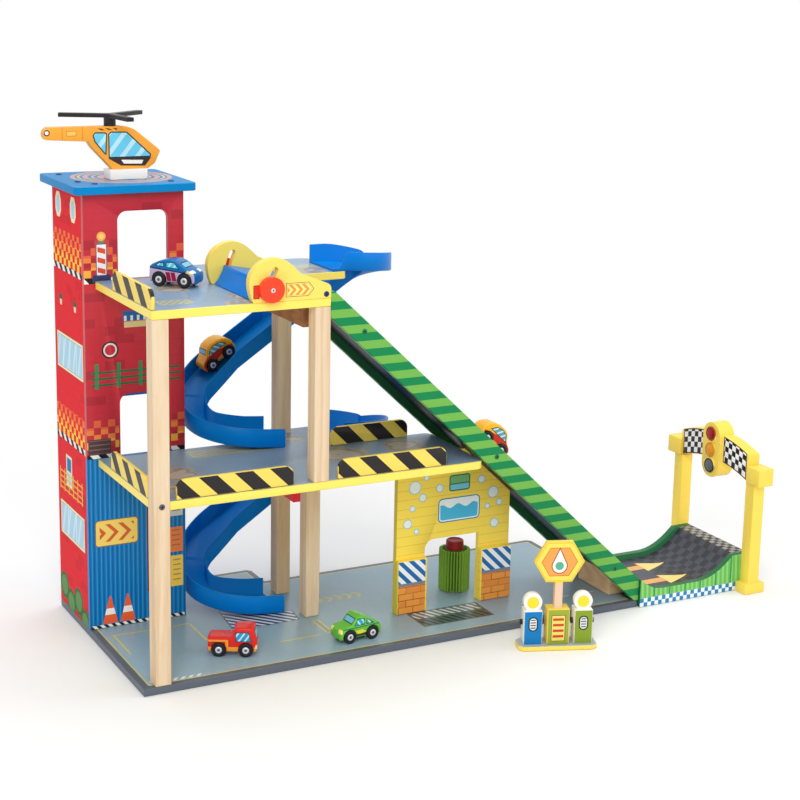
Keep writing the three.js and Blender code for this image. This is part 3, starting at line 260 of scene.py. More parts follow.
class Finish(Tree):
    """A painted or printed surface. Its own millimetres are called "x", "y" and "z"."""

    def __init__(self, name, ground, roughness=0.4, place=CORNER, turn=(0, 0, 0)):
        self.material = bpy.data.materials.new(name)
        self.material.use_nodes = True
        super().__init__(self.material.node_tree)
        self.shader = self.tree.nodes["Principled BSDF"].inputs
        self.roughness = roughness
        self.colour = ink(*ground)
        self.bumps = None
        own = self.node("ShaderNodeTexCoord")["Object"]
        self.place = self.node("ShaderNodeMapping", {
            "Vector": own, "Location": place, "Rotation": turn, "Scale": (MM, MM, MM),
        }, vector_type="TEXTURE")[0]
        self.x, self.y, self.z = self.node("ShaderNodeSeparateXYZ", {0: self.place})
        self.lie("x", "z")

    def lie(self, u, v, face=None):
        """Sets the coordinates of the next outlines, and the face that prints keep to."""
        self.u, self.v, self.face = u, v, face

    def link(self, value, socket):
        super().link(getattr(self, value) if isinstance(value, str) else value, socket)

    def add(self, a, b):
        return self.math("ADD", a, b)

    def sub(self, a, b):
        return self.math("SUBTRACT", a, b)

    def times(self, a, b):
        return self.math("MULTIPLY", a, b)

    def abs(self, value):
        return self.math("ABSOLUTE", value)

    def off(self, value, middle):
        """How far a value is from a middle, on either side."""
        return self.abs(self.sub(value, middle))

    def all(self, *shapes):
        """The space inside every one of the shapes."""
        whole = shapes[0]
        for shape in shapes[1:]:
            whole = self.math("MAXIMUM", whole, shape)
        return whole

    def any(self, *shapes):
        """The space inside at least one of the shapes."""
        whole = shapes[0]
        for shape in shapes[1:]:
            whole = self.math("MINIMUM", whole, shape)
        return whole

    def below(self, value, limit):
        """Everything under a limit. It is steep, so a shape cut by it can still be shrunk."""
        return self.times(self.sub(value, limit), STEEP)

    def above(self, value, limit):
        return self.times(self.sub(limit, value), STEEP)

    def between(self, value, low, high):
        return self.sub(self.off(value, (low + high) / 2), (high - low) / 2)

    def outside(self, value, low, high):
        """Below a low limit or above a high one, as the two faces of a board are."""
        return self.any(self.below(value, low), self.above(value, high))

    def box(self, low, high):
        return self.all(*[self.between(*span) for span in zip((self.u, self.v), low, high)])

    def disc(self, middle, radius):
        across = self.sub(self.u, middle[0])
        along = self.sub(self.v, middle[1])
        squares = self.add(self.times(across, across), self.times(along, along))
        return self.sub(self.math("SQRT", squares), radius)

    def tablet(self, low, high, radius):
        """A box with round corners."""
        core = [
            self.between(value, a + radius, b - radius)
            for value, a, b in zip((self.u, self.v), low, high)
        ]
        beyond = [self.math("MAXIMUM", value, 0.0) for value in core]
        corner = self.math("SQRT", self.add(*[self.times(value, value) for value in beyond]))
        inside = self.math("MINIMUM", self.all(*core), 0.0)
        return self.sub(self.add(corner, inside), radius)

    def polygon(self, points):
        """A convex outline, its corners given anticlockwise."""
        sides = []
        for (u0, v0), (u1, v1) in zip(points, points[1:] + points[:1]):
            length = math.hypot(u1 - u0, v1 - v0)
            nu, nv = (v1 - v0) / length, -(u1 - u0) / length
            rise = self.add(self.times(self.v, nv), -nu * u0 - nv * v0)
            sides.append(self.add(self.times(self.u, nu), rise))
        return self.all(*sides)

    def slant(self, u, v, lean):
        """A coordinate that runs along u and leans over by so much for each step up v."""
        return self.add(u, self.times(v, lean))

    def stripes(self, value, period, share, start=0.0):
        """Bars of one period, each filling that share of it."""
        phase = self.math("FRACT", self.times(self.sub(value, start), 1 / period))
        return self.sub(phase, share)

    def bars(self, lean, period, share):
        """Stripes that lean over the face."""
        return self.stripes(self.slant(self.u, self.v, lean), period, share)

    def checks(self, u, v, size):
        """Every second square of a draughts board."""
        steps = [self.math("FLOOR", self.times(value, 1 / size)) for value in (u, v)]
        return self.sub(self.math("FRACT", self.times(self.add(*steps), 0.5)), 0.25)

    def bricks(self, size, joint):
        """Mortar joints of a brick bond, and a number from 0 to 1 for each brick."""
        rise = self.times(self.v, 1 / size[1])
        row = self.math("FLOOR", rise)
        offset = self.times(self.math("FRACT", self.times(row, 0.5)), size[0])
        along = self.times(self.add(self.u, offset), 1 / size[0])
        gaps = self.any(
            self.sub(self.math("FRACT", along), joint / size[0]),
            self.sub(self.math("FRACT", rise), joint / size[1]),
        )
        cell = self.node("ShaderNodeCombineXYZ", {0: self.math("FLOOR", along), 1: row})[0]
        chance = self.node("ShaderNodeTexWhiteNoise", {"Vector": cell}, noise_dimensions="2D")
        return gaps, chance["Value"]

    def cloud(self, size, detail=2.0, stretch=(1, 1, 1)):
        """Soft noise with spots of about that size in millimetres."""
        scale = [1 / (size * part) for part in stretch]
        scaled = self.node("ShaderNodeMapping", {"Vector": self.place, "Scale": scale})[0]
        return self.node("ShaderNodeTexNoise", {"Vector": scaled, "Scale": 1.0, "Detail": detail})[0]

    def lay(self, shape, colour, cover=1.0):
        """Paints a colour inside a shape, or where all the shapes of a list overlap."""
        shapes = shape if isinstance(shape, list) else [shape]
        if self.face is not None:
            shapes = [self.face] + shapes
        whole = self.all(*shapes)
        self.blend(self.times(self.math("LESS_THAN", whole, 0.0), cover), colour)

    def nest(self, shape, *layers):
        """Paints a shape and smaller copies inside it, each given as its inset and colour."""
        for inset, colour in layers:
            self.lay(self.add(shape, inset), colour)

    def blend(self, mask, colour, mode="MIX"):
        colour = ink(*colour) if isinstance(colour, tuple) else colour
        values = {0: mask, 6: self.colour, 7: colour}
        self.colour = self.node("ShaderNodeMix", values, data_type="RGBA", blend_type=mode)[2]

    def tone(self, value, amount):
        """Lightens and darkens the colour so far, where value runs from 0 to 1."""
        scale = self.add(self.times(value, 2 * amount), 1 - amount)
        grey = self.node("ShaderNodeCombineColor", {0: scale, 1: scale, 2: scale})[0]
        self.blend(1.0, grey, "MULTIPLY")

    def raise_by(self, value, height):
        """Adds relief: value from 0 to 1 stands for that many millimetres."""
        rise = self.times(value, height)
        self.bumps = rise if self.bumps is None else self.add(self.bumps, rise)

    def done(self, gloss=0.06, shine=0.22):
        """Joins the layers to the shader. Returns the material."""
        worn = self.times(self.sub(self.cloud(9.0), 0.5), gloss * 2)
        self.raise_by(self.cloud(1.6, 3.0), 0.05)
        self.feed(self.shader, {
            "Specular IOR Level": shine, "Base Color": self.colour,
            "Roughness": self.add(worn, self.roughness),
            "Normal": self.node("ShaderNodeBump", {"Distance": MM, "Height": self.bumps})[0],
        })
        return self.material


# %% [markdown]
# ## Soft edges on boards
#
# The frame's boards have knife edges. A real board is sanded, and its edge catches a thin
# line of light. `board` copies a node's solid, joins its loose triangles into whole faces,
# cuts a small chamfer along every sharp edge, and puts the result in the node's place.

# %% Boards
SHARP = math.radians(28)
SMOOTH = math.radians(36)
FLAT = math.radians(0.6)
WELD = 0.00002


def to_mesh(shape, name, smooth=SMOOTH):
    """Turns a shape into a mesh that is shaded round up to that angle between faces."""
    for face in shape.faces:
        face.smooth = True
    mesh = bpy.data.meshes.new(name)
    shape.to_mesh(mesh)
    shape.free()
    mesh.set_sharp_from_angle(angle=smooth)
    return mesh


def place_piece(name, mesh, material, body, stands_for=()):
    """Links a finished mesh as a piece that moves with a body."""
    if not mesh.materials:
        mesh.materials.append(material)
    piece = placed(name, mesh)
    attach(piece, body)
    if stands_for:
        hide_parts(*stands_for)


def stand_in(node, mesh, material):
    """Puts a mesh in a node's place, on the node's body."""
    place_piece(mesh.name, mesh, material, HOME[node], [node])


def bevel(shape, edges, width, steps):
    """Rounds edges over by a width in millimetres."""
    bmesh.ops.bevel(
        shape, geom=edges, offset=width * MM, segments=steps, profile=0.5, affect="EDGES",
        clamp_overlap=True,
    )


def board(node, material, chamfer=0.6, steps=1):
    """The node's own shape with chamfered edges, in its place."""
    shape = bmesh.new()
    shape.from_mesh(nodes[node].data)
    bmesh.ops.remove_doubles(shape, verts=shape.verts, dist=WELD)
    bmesh.ops.dissolve_limit(shape, angle_limit=FLAT, verts=shape.verts, edges=shape.edges)
    sharp = [
        edge for edge in shape.edges
        if len(edge.link_faces) == 2 and edge.calc_face_angle(0) > SHARP
    ]
    bevel(shape, sharp, chamfer, steps)
    stand_in(node, to_mesh(shape, node + "_board"), material)


# %% [markdown]
# ## Pine
#
# The posts, the ramp's block and the lift's guide are bare pine. Its grain is a set of long
# thin bands that wander a little. A noise that is stretched along the post gives the wander,
# and a wave across the post gives the bands.

# %% Pine and brown wood
GRAIN_BAND = 5.0
ALONG_Z = (1, 1, 14)
ALONG_Y = (1, 14, 1)


def wood(name, light, dark, stretch):
    """Bare wood with its grain along the stretched direction."""
    finish = Finish(name, light, 0.6)
    wander = finish.times(finish.cloud(34.0, 3.0, stretch), 23.0)
    across = finish.slant(finish.times("x", 1 / GRAIN_BAND), "y", 0.7 / GRAIN_BAND)
    wave = finish.math("SINE", finish.add(across, wander))
    streak = finish.cloud(3.0, 4.0, stretch)
    grain = finish.add(finish.times(wave, 0.28), finish.times(streak, 0.9))
    finish.blend(finish.times(finish.math("MAXIMUM", grain, 0.0), 0.62), dark)
    finish.raise_by(streak, 0.12)
    return finish.done()


pine = wood("pine", (232, 210, 178), (202, 160, 112), ALONG_Z)
pine_flat = wood("pine, lying", (250, 212, 168), (216, 162, 112), ALONG_Y)
brown = wood("brown wood", (176, 122, 78), (120, 74, 40), ALONG_Y)
for node in ("post_front_left", "post_front_right", "post_centre", "post_low", "lift_guide"):
    board(node, pine, 0.9)
board("ramp_block", pine_flat, 0.7)
board("brush_spindle", pine_flat, 0.4)
board("cleat_upper", brown, 0.8)

# %% [markdown]
# ## Base board
#
# The top is a grey road print with a dark rim, yellow parking lines, a blue and white hatched
# strip where the lower spiral ends, and a dark drain grate in front of the brush. The
# sides are slate grey. Lines are thin boxes, and the hatching is a slanted coordinate.

# %% Base board
SLATE = (94, 101, 112)
ROAD_YELLOW = (222, 205, 74)
WING_RIGHT = 326.0
MAIN_BACK = 333.0
base = Finish("base print", (150, 178, 194), 0.34)
base.lie("x", "y")
base.tone(base.cloud(120.0, 3.0), 0.10)
base.tone(base.cloud(14.0, 3.0), 0.05)


def outside_road(inset):
    """All that lies within a distance of the base board's outline."""
    parts = [
        base.box((inset, inset), (width - inset, depth - inset))
        for width, depth in ((base_high.x, MAIN_BACK), (WING_RIGHT, base_high.y))
    ]
    return base.times(base.any(*parts), -1.0)


hatch = base.polygon([(198, 160), (250, 150), (308, 152), (314, 191), (205, 236)])
base.lay(hatch, (236, 240, 244))
base.lay([hatch, base.bars(0.9, 15.0, 0.55)], (38, 74, 132))
base.lay([hatch, base.above(hatch, -2.2)], SLATE)
for low, high in (
    ((24, 132), (27, 212)), ((27, 207), (146, 210)), ((145, 133), (148, 206)),
    ((244, 80), (311, 83)), ((323, 85), (334, 137)),
):
    base.lay(base.box(low, high), ROAD_YELLOW)
base.lay(base.box((325.5, 87.5), (331.5, 134.5)), (150, 158, 150))
arrow_bend = base.slant("x", base.off("y", 214), 0.8)
for start in range(372, 457, 17):
    arrow = base.between(arrow_bend, start, start + 6)
    base.lay([arrow, base.between("y", 203, 225)], (214, 200, 92))
base.lay(base.box((470, 42), (596, 104)), (92, 104, 104))
slots = base.bars(0.5, 12.0, 0.5)
base.lay([base.box((474, 46), (592, 71)), slots], (24, 48, 40))
base.lay([base.box((474, 76), (592, 100)), slots], (208, 214, 214))
base.lay([base.box((48, 13), (96, 21)), base.bars(-0.8, 12.0, 0.5)], (226, 232, 236))
base.nest(base.disc((24, 22), 8.0), (0, (206, 216, 220)), (2.0, (150, 165, 178)))
base.lay([base.box((640, 64), (800, 67)), base.stripes("x", 60.0, 0.5)], (226, 232, 236))
base.lay(outside_road(12.0), ROAD_YELLOW)
base.lay(outside_road(10.0), SLATE)
base.lay(base.below("z", base_high.z - 0.3), SLATE)
board("base_board", base.done(), 0.7)

# %% [markdown]
# ## Decks
#
# The decks have the same grey print, with yellow hatched boxes and brown scuffs. Their
# sanded edges and undersides are painted yellow. A point on the top face lies within a
# fraction of a millimetre of the deck's highest point, so height alone tells them apart.

# %% Decks
DECK_YELLOW = (252, 228, 104)
HATCH_YELLOW = (206, 196, 96)
SCUFF = ((0, (196, 170, 104), 0.6), (7.0, (112, 112, 136), 0.5), (15.0, (214, 208, 196), 0.55))


def deck(node, hatches, scuffs):
    """A deck with a printed top and yellow edges."""
    print_top = Finish(node + " print", (138, 164, 190), 0.3)
    print_top.lie("x", "y")
    print_top.tone(print_top.cloud(90.0, 3.0), 0.14)
    ragged = print_top.times(print_top.sub(print_top.cloud(26.0, 4.0, (1.6, 0.7, 1)), 0.5), 60.0)
    for middle, radius in scuffs:
        outline = print_top.add(print_top.disc(middle, radius), ragged)
        for inset, colour, cover in SCUFF:
            print_top.lay(print_top.add(outline, inset), colour, cover)
    for low, high, lean in hatches:
        area = print_top.box(low, high)
        print_top.lay([area, print_top.bars(lean, 11.0, 0.42)], HATCH_YELLOW)
        print_top.lay([area, print_top.above(area, -2.0)], HATCH_YELLOW)
    print_top.lay(print_top.between("y", 0, 3), DECK_YELLOW)
    print_top.lay(print_top.below("z", box_mm(node)[1].z - 0.25), DECK_YELLOW)
    board(node, print_top.done(), 0.8)


deck(
    "deck_middle",
    (((149, 190), (292, 226), 0.9), ((420, 60), (500, 96), -0.9)),
    (((95, 120), 34), ((70, 60), 22), ((360, 120), 40), ((470, 130), 34), ((330, 230), 26)),
)
deck(
    "deck_upper",
    (((44, 36), (92, 66), -0.9), ((310, 240), (380, 262), 0.9)),
    (((95, 140), 26), ((178, 60), 34), ((215, 120), 30), ((150, 20), 16), ((350, 215), 24)),
)

# %% [markdown]
# ## Tower
#
# The tower's boards are printed with red bricks, of which a few are darker, outside and
# inside. Checks that turn from yellow to orange and a black and white hazard band mark each
# floor, and the windows are pale blue in cream frames. The two boards share what repeats.

# %% What the tower walls share
CHECK = 11.0
CREAM = (250, 236, 190)
PANE_BLUE = (176, 216, 236)
tower_low, tower_high = box_mm("tower_front_wall")


def brick_wall(finish, u, face, dark):
    """Bricks of a few shades on one face of a tower board."""
    finish.lie(u, "z", face)
    mortar, chance = finish.bricks((30.0, 13.0), 0.8)
    finish.lay(finish.sub(0.86, chance), dark, 0.55)
    finish.lay(mortar, dark, 0.22)


def floor_bands(finish, check_rows, hazard_rows, colours, lean):
    """Rows of checks that turn from one colour to the next, with a hazard band below them."""
    for low, high in check_rows:
        squares = finish.checks(finish.u, finish.sub("z", low), CHECK)
        for step, colour in enumerate(colours):
            start = low + (high - low) * step / len(colours)
            finish.lay([finish.between("z", start, high), squares], colour)
    for low, high in hazard_rows:
        rows = finish.between("z", low, high)
        finish.lay(rows, (240, 240, 236))
        finish.lay([rows, finish.bars(lean, 25.0, 0.5)], (34, 30, 34))


def window(finish, low, high, panes):
    """A pale window in a cream frame, with slanted pale streaks on the glass as a painted reflection,
    and upright bars between its panes.
    """
    opening = finish.box(low, high)
    finish.nest(opening, (0, (150, 96, 84)), (1.2, CREAM), (4.6, (140, 170, 186)), (5.6, PANE_BLUE))
    glass = finish.add(opening, 5.6)
    # Slanted pale streaks on the glass: a painted reflection.
    finish.lay([glass, finish.bars(0.35, 26.0, 0.3)], (206, 232, 244))
    bars = finish.stripes(finish.sub(finish.u, low[0]), (high[0] - low[0]) / panes, 0.07)
    finish.lay([glass, bars], (232, 244, 248))


# %% Tower side wall
side = Finish("tower side print", (230, 24, 40), 0.5)
side_high = box_mm("tower_side_wall")[1]
brick_wall(side, "y", side.above("x", side_high.x - 0.4), (196, 20, 38))
brick_wall(side, "y", side.below("x", 0.4), (206, 16, 36))
floor_bands(
    side, ((560.5, 613), (293.5, 339)), ((551, 560), (284, 293)),
    ((255, 206, 66), (255, 168, 62), (246, 118, 58)), -0.9,
)
for middle in (291, 364):
    porthole = side.polygon([
        (middle + across, 650 + rise) for across, rise in
        ((-7, -19), (7, -19), (14, -8), (14, 8), (7, 19), (-7, 19), (-14, 8), (-14, -8))
    ])
    side.nest(porthole, (0, CREAM), (5.6, PANE_BLUE))
for middle in (290, 360):
    shade = side.disc((middle, 505), 9.0)
    side.lay([shade, side.above("z", 505)], (56, 96, 62))
    side.lay([shade, side.below("z", 505), side.between("y", middle - 5, middle + 5)], (246, 214, 190))
window(side, (254, 396), (384, 454), 4)
window(side, (262, 127), (384, 183), 3)
window(side, (320, 212), (352, 264), 1)
low_window = side.box((326, 218), (346, 258))
side.lay(low_window, (46, 122, 190))
side.lay([low_window, side.below("z", 236)], (196, 222, 226))
side.lay([low_window, side.between("z", 235, 237.5)], CREAM)
pickets = side.any(
    side.stripes(side.sub("z", 202), 9.0, 0.26), side.stripes(side.sub("y", 270), 22.0, 0.16),
)
side.lay([side.box((268, 200), (384, 236)), pickets], (232, 186, 74))
for middle, height in ((268, 34), (300, 58), (338, 44), (372, 62)):
    bush = side.disc((middle, height - 20), 22.0)
    side.nest(bush, (0, (60, 110, 62)), (6.0, (96, 150, 84)))
board("tower_side_wall", side.done(shine=0.06), 0.5)

# %% Tower front wall
# The front's red is greyer and pinker than the side's red: the same red, with painted glare.
FRONT_RED_WITH_GLARE = (200, 52, 64)
front = Finish("tower front print", FRONT_RED_WITH_GLARE, 0.3)
front_face = front.below("y", tower_low.y + 0.4)
brick_wall(front, "x", front_face, (160, 42, 54))
brick_wall(front, "x", front.above("y", tower_low.y + 8.6), (160, 42, 54))
front.lie("x", "z", front.all(front_face, front.outside("x", 50, 132)))
floor_bands(
    front, ((556, 600), (296, 340)), ((547, 555.5), (276, 288)),
    ((246, 178, 66), (240, 136, 66), (230, 104, 68)), 0.9,
)
front.lie("x", "z", front_face)
front.lay(front.box((17, 600), (39, 611)), (222, 92, 72), 0.5)
front.lay(front.tablet((13, 547), (41, 560), 4), (58, 66, 106))
front.lay(front.box((23.5, 604), (30.5, 612)), (76, 148, 116))
beacon = front.tablet((18.4, 558), (35.6, 606), 3)
front.nest(beacon, (0, (120, 84, 92)), (1.4, (244, 240, 240)))
beacon_bars = front.stripes(front.slant("z", "x", 0.3), 15.0, 0.5)
front.lay([front.add(beacon, 2.6), beacon_bars], (226, 84, 58))
front.nest(front.disc((27, 616.5), 6.8), (0, (246, 176, 84)), (3.0, (252, 206, 120)))
awning = front.box((58, 488), (100, 503))
front.lay(awning, (24, 104, 178))
front.lay([awning, front.stripes("x", 10.0, 0.4), front.below("z", 496)], (230, 238, 244))
front.lay(front.box((60, 478), (98, 487)), (226, 210, 150))
rails = front.stripes(front.sub("z", 392), 9.4, 0.34)
front.lay([front.box((8, 392), (148, 420)), rails], (44, 110, 78))
stakes = front.stripes(front.sub("x", 14), 34.0, 0.17)
front.lay([front.box((8, 388), (148, 426)), stakes], (60, 142, 92))
for middle in (38, 112):
    clock = front.disc((middle, 446), 13.0)
    front.nest(clock, (0, (46, 40, 48)), (2.4, (236, 228, 226)), (5.0, FRONT_RED_WITH_GLARE))
vent = front.box((2, 287), (37, 311))
front.lay(vent, (84, 62, 62))
front.lay([front.add(vent, 1.5), front.stripes("z", 7.0, 0.3)], (126, 100, 96))
# The inner edges of the lower door openings are painted dark: painted shade inside the openings.
front.lie("x", "z")
front.lay([
    front.between("x", 51, 131), front.between("y", tower_low.y + 0.5, tower_high.y - 0.4),
    front.below("z", 380),
], (70, 50, 58))
board("tower_front_wall", front.done(), 0.5)

# %% [markdown]
# ## Corrugated wall and roof
#
# The lowest wall is printed like corrugated sheet: a narrow light line and a broad dark one
# repeat across it. The roof board is blue, with a landing place of rings round a full disc.

# %% Corrugated wall and roof
sheet = Finish("corrugated print", (8, 118, 188), 0.34)
sheet.lie("x", "z", sheet.below("y", tower_low.y + 0.4))
sheet.lay(sheet.stripes("x", 7.2, 0.26), (4, 92, 158))
sheet.lay(sheet.stripes(sheet.add("x", 3.0), 7.2, 0.14), (52, 154, 214))
notice = sheet.tablet((10, 142), (78, 184), 6)
sheet.nest(notice, (0, (120, 96, 50)), (1.2, (240, 206, 104)))
chevrons = sheet.stripes(sheet.add("x", sheet.off("z", 163)), 20.0, 0.36)
sheet.lay([sheet.add(notice, 7.0), chevrons], (206, 92, 50))
for foot in (20, 48):
    cone = sheet.polygon([(foot, 18), (foot + 24, 18), (foot + 13, 62), (foot + 11, 62)])
    sheet.lay(cone, (238, 96, 48))
    sheet.lay([cone, sheet.between("z", 32, 42)], (246, 240, 236))
for low, high, colour in (
    ((128, 176), (150, 226), (206, 210, 206)), ((128, 118), (150, 158), (236, 128, 60)),
    ((130, 62), (150, 112), (246, 206, 84)),
):
    poster = sheet.box(low, high)
    sheet.lay(poster, colour)
    sheet.lay([sheet.add(poster, 4.0), sheet.stripes("z", 8.0, 0.25)], (96, 96, 110), 0.7)
foot_strip = sheet.box((2, 12), (152, 17))
sheet.lay(foot_strip, (240, 236, 220))
sheet.lay([foot_strip, sheet.bars(0.9, 12.0, 0.5)], (40, 36, 40))
rungs = sheet.any(sheet.above(sheet.off("x", 104), 9.0), sheet.stripes("z", 15.0, 0.22))
sheet.lay([sheet.box((92, 60), (116, 240)), rungs], (120, 34, 58))
board("tower_lower_wall", sheet.done(), 0.5)

PAD_MIDDLE = (88.0, 330.0)
PAD_PINK = (206, 160, 148)
PAD_OCHRE = (206, 186, 128)
roof_top = box_mm("roof_board")[1].z
roof = Finish("roof print", (0, 130, 194), 0.4)
roof.lie("x", "y", roof.above("z", roof_top - 0.3))
roof.tone(roof.cloud(60.0), 0.06)
for radius, width, colour in (
    (76.0, 7.0, PAD_PINK), (66.0, 4.0, PAD_OCHRE), (58.0, 8.0, PAD_PINK), (45.0, 4.0, PAD_OCHRE),
    (36.0, 36.0, PAD_PINK),
):
    ring = roof.disc(PAD_MIDDLE, radius)
    roof.lay([ring, roof.above(ring, -width)], colour)
board("roof_board", roof.done(shine=0.1), 0.8)
print("walls and roof are dressed")

# %% [markdown]
# ## Long ramp
#
# The rails carry level bands in two greens, which show the slope. The bands repeat every
# 24.4 mm of height. The track between the rails is nearly black.

# %% Long ramp
rail = Finish("ramp rail print", (114, 180, 78), 0.34)
rail.lay(rail.stripes("z", 24.42, 0.5, 44.6), (8, 132, 74))
# The rails' inner faces are plain dark green: painted shade where the two rails face each other.
rail.lay(rail.between("y", 11.6, 156.4), (30, 92, 58))
rail_material = rail.done()
board("ramp_rail_front", rail_material, 0.7)
board("ramp_rail_back", rail_material, 0.7)

track = Finish("track paint", (40, 42, 52), 0.4)
track.tone(track.cloud(40.0, 3.0), 0.2)
# The track's strips next to the rails are dark green: painted shade along the rails.
track.lay(track.outside("y", 26, 142), (30, 60, 48))
board("ramp_track", track.done(), 0.4)

# %% [markdown]
# ## Barriers
#
# Each barrier is a yellow strip with black bars that lean like a road block's. The bars are
# one slanted stripe. On the barriers along the left edge they lean the other way.

# %% Barriers
def barrier(node, run, lean, period, share, first):
    """A yellow strip with slanted black bars along X or Y. The first bar starts at its foot."""
    low, high = box_mm(node)
    strip = Finish(node + " print", (244, 216, 100), 0.38)
    start, end = (low.x, high.x) if run == "x" else (low.y, high.y)
    strip.lie(run, "z")
    bars = strip.stripes(strip.slant(run, strip.sub("z", low.z), lean), period, share, first)
    inset = strip.box((start + 0.6, low.z + 0.6), (end - 0.6, high.z - 0.6))
    strip.lay([bars, inset], (44, 40, 40))
    board(node, strip.done(), 0.6)


barrier("barrier_front_left", "x", 1.03, 53.7, 0.52, 60.2)
barrier("barrier_front_right", "x", 1.05, 54.2, 0.51, 363.5)
barrier("barrier_back", "x", 1.0, 54.6, 0.55, 394.3)
barrier("barrier_upper_left", "y", -0.94, 53.3, 0.485, 19.0)
barrier("barrier_middle_left", "y", -0.94, 53.5, 0.47, 31.8)

# %% [markdown]
# ## Launcher
#
# Two yellow cheeks hold a blue tray. The front cheek has a printed box of arrows that points
# down the ramp, and a red square behind the knob. The red knobs get a rounded rim: a wide
# chamfer in three steps does what a router would do.

# %% Launcher
ARROW_MIDDLE = 566.4
ARROW_YELLOW = (252, 232, 130)
cheek = Finish("launcher cheek print", (250, 222, 104), 0.34)
cheek.lie("x", "z", cheek.below("y", 0.4))
sign = cheek.polygon([
    (213.7, 556.6), (247.8, 556.4), (256.8, ARROW_MIDDLE), (249.3, 576.4), (213.7, 576.5),
])
cheek.nest(sign, (0, (60, 52, 50)), (0.8, ARROW_YELLOW), (2.0, (238, 150, 60)))
arrows = cheek.stripes(cheek.add("x", cheek.off("z", ARROW_MIDDLE)), 10.0, 0.5)
cheek.lay([cheek.add(sign, 2.6), arrows], ARROW_YELLOW)
cheek.nest(cheek.box((164.4, 557), (174, 576.5)), (0, (150, 40, 40)), (1.2, (226, 60, 44)))
cheek_material = cheek.done()
board("launcher_plate_front", cheek_material, 0.8)
board("launcher_plate_back", cheek_material, 0.8)

plastic = Finish("blue plastic", (0, 124, 214), 0.3)
plastic.raise_by(plastic.cloud(22.0), 0.12)
plastic_material = plastic.done(0.03, 0.1)
board("launcher_tray", plastic_material, 0.5)
board("lift_platform", plastic_material, 0.6)

knob_material = Finish("red plastic", (246, 70, 40), 0.3).done(0.03)
board("knob_front", knob_material, 1.6, 3)
board("knob_back", knob_material, 1.6, 3)
board("cleat_middle", Finish("red paint", (206, 28, 44), 0.4).done(), 0.8)

# %% [markdown]
# ## Spirals
#
# Each slide is one moulded channel: a floor between two upright walls, swept along a rule. Two
# straights join two half turns. The outer wall goes round a wide circle, and the inner
# wall runs out to a narrow eye and back. The fall is gentle at both ends and steep between.
# Many small steps and a round rim make the moulding look as smooth as it is.

# %% Spiral rule
storey = box_mm("deck_upper")[1].z - box_mm("deck_middle")[1].z
spiral_low, spiral_high = box_mm("spiral_upper")
LANE_OUTER = (spiral_high.y - spiral_low.y) / 2
LANE_INNER = 12.0
EYE_REACH = 46.0
TURN_Y = (spiral_high.y + spiral_low.y) / 2
LEFT_TURN = spiral_low.x + LANE_OUTER
RIGHT_TURN = spiral_high.x - LANE_OUTER
SPIRAL_START = 376.0
LIP_END = 400.3
SPIRAL_EXIT = 298.0
EYE_STRAIGHT = 0.3
TURN_STEPS = 48
FALL_SHARES = (
    (0, 0.1), (0.1, 0.19), (0.195, 0.34), (0.3, 0.5), (0.4, 0.6), (0.5, 0.7), (0.765, 0.7),
    (0.8, 0.5), (0.83, 0.3), (0.87, 0.18), (1, 0.08),
)


def fall_share(place):
    """How steeply the channel falls at that share of its length."""
    for (start, first), (end, second) in zip(FALL_SHARES, FALL_SHARES[1:]):
        if place <= end:
            return first + (second - first) * (place - start) / (end - start)
    return FALL_SHARES[-1][1]


def straight(x0, x1, side, steps):
    """Wall points along a straight, its last point left to what follows."""
    points = []
    for i in range(steps):
        x = x0 + (x1 - x0) * i / steps
        points.append([Vector((x, TURN_Y + side * reach)) for reach in (LANE_OUTER, LANE_INNER)])
    return points


def half_turn(centre, side):
    """Wall points round one end. Side is 1 on the right and -1 on the left."""
    points = []
    for i in range(TURN_STEPS):
        share = i / TURN_STEPS
        angle = math.pi * (share - side / 2)
        outer = Vector((centre + LANE_OUTER * math.cos(angle), TURN_Y + LANE_OUTER * math.sin(angle)))
        before = share / EYE_STRAIGHT
        after = (1 - share) / EYE_STRAIGHT
        if before < 1:
            inner = Vector((centre + side * EYE_REACH * before, TURN_Y - side * LANE_INNER))
        elif after < 1:
            inner = Vector((centre + side * EYE_REACH * after, TURN_Y + side * LANE_INNER))
        else:
            along = math.pi * ((share - EYE_STRAIGHT) / (1 - 2 * EYE_STRAIGHT) - side / 2)
            eye = Vector((centre + side * EYE_REACH, TURN_Y))
            inner = eye + LANE_INNER * Vector((math.cos(along), math.sin(along)))
        points.append((outer, inner))
    return points


def spiral_stations():
    """Points on the outer and the inner wall, and the fall there, all in millimetres."""
    walls = straight(SPIRAL_START, LIP_END, -1, 2) + straight(LIP_END, RIGHT_TURN, -1, 2)
    walls += half_turn(RIGHT_TURN, 1) + straight(RIGHT_TURN, LEFT_TURN, 1, 24)
    walls += half_turn(LEFT_TURN, -1) + straight(LEFT_TURN, SPIRAL_EXIT, -1, 6)
    walls += straight(SPIRAL_EXIT, SPIRAL_EXIT, -1, 1)
    middles = [(outer + inner) / 2 for outer, inner in walls]
    travelled = [0.0]
    for last, here in zip(middles, middles[1:]):
        travelled.append(travelled[-1] + (here - last).length)
    lip = LIP_END - SPIRAL_START
    shares = [max(0.0, (way - lip) / (travelled[-1] - lip)) for way in travelled]
    fallen = [0.0]
    for last, here in zip(shares, shares[1:]):
        fallen.append(fallen[-1] + (here - last) * (fall_share(here) + fall_share(last)) / 2)
    return [
        (outer, inner, storey * drop / fallen[-1]) for (outer, inner), drop in zip(walls, fallen)
    ]


stations = spiral_stations()
print("spiral:", len(stations), "stations, fall", round(stations[-1][2]), "mm")

# %% Spiral mesh
WALL = 3.0
WALL_HEIGHT = 29.0
RIM = 0.9
FILLET = 2 * RIM
LIP_GAP = 0.3
ROUND = math.radians(50)


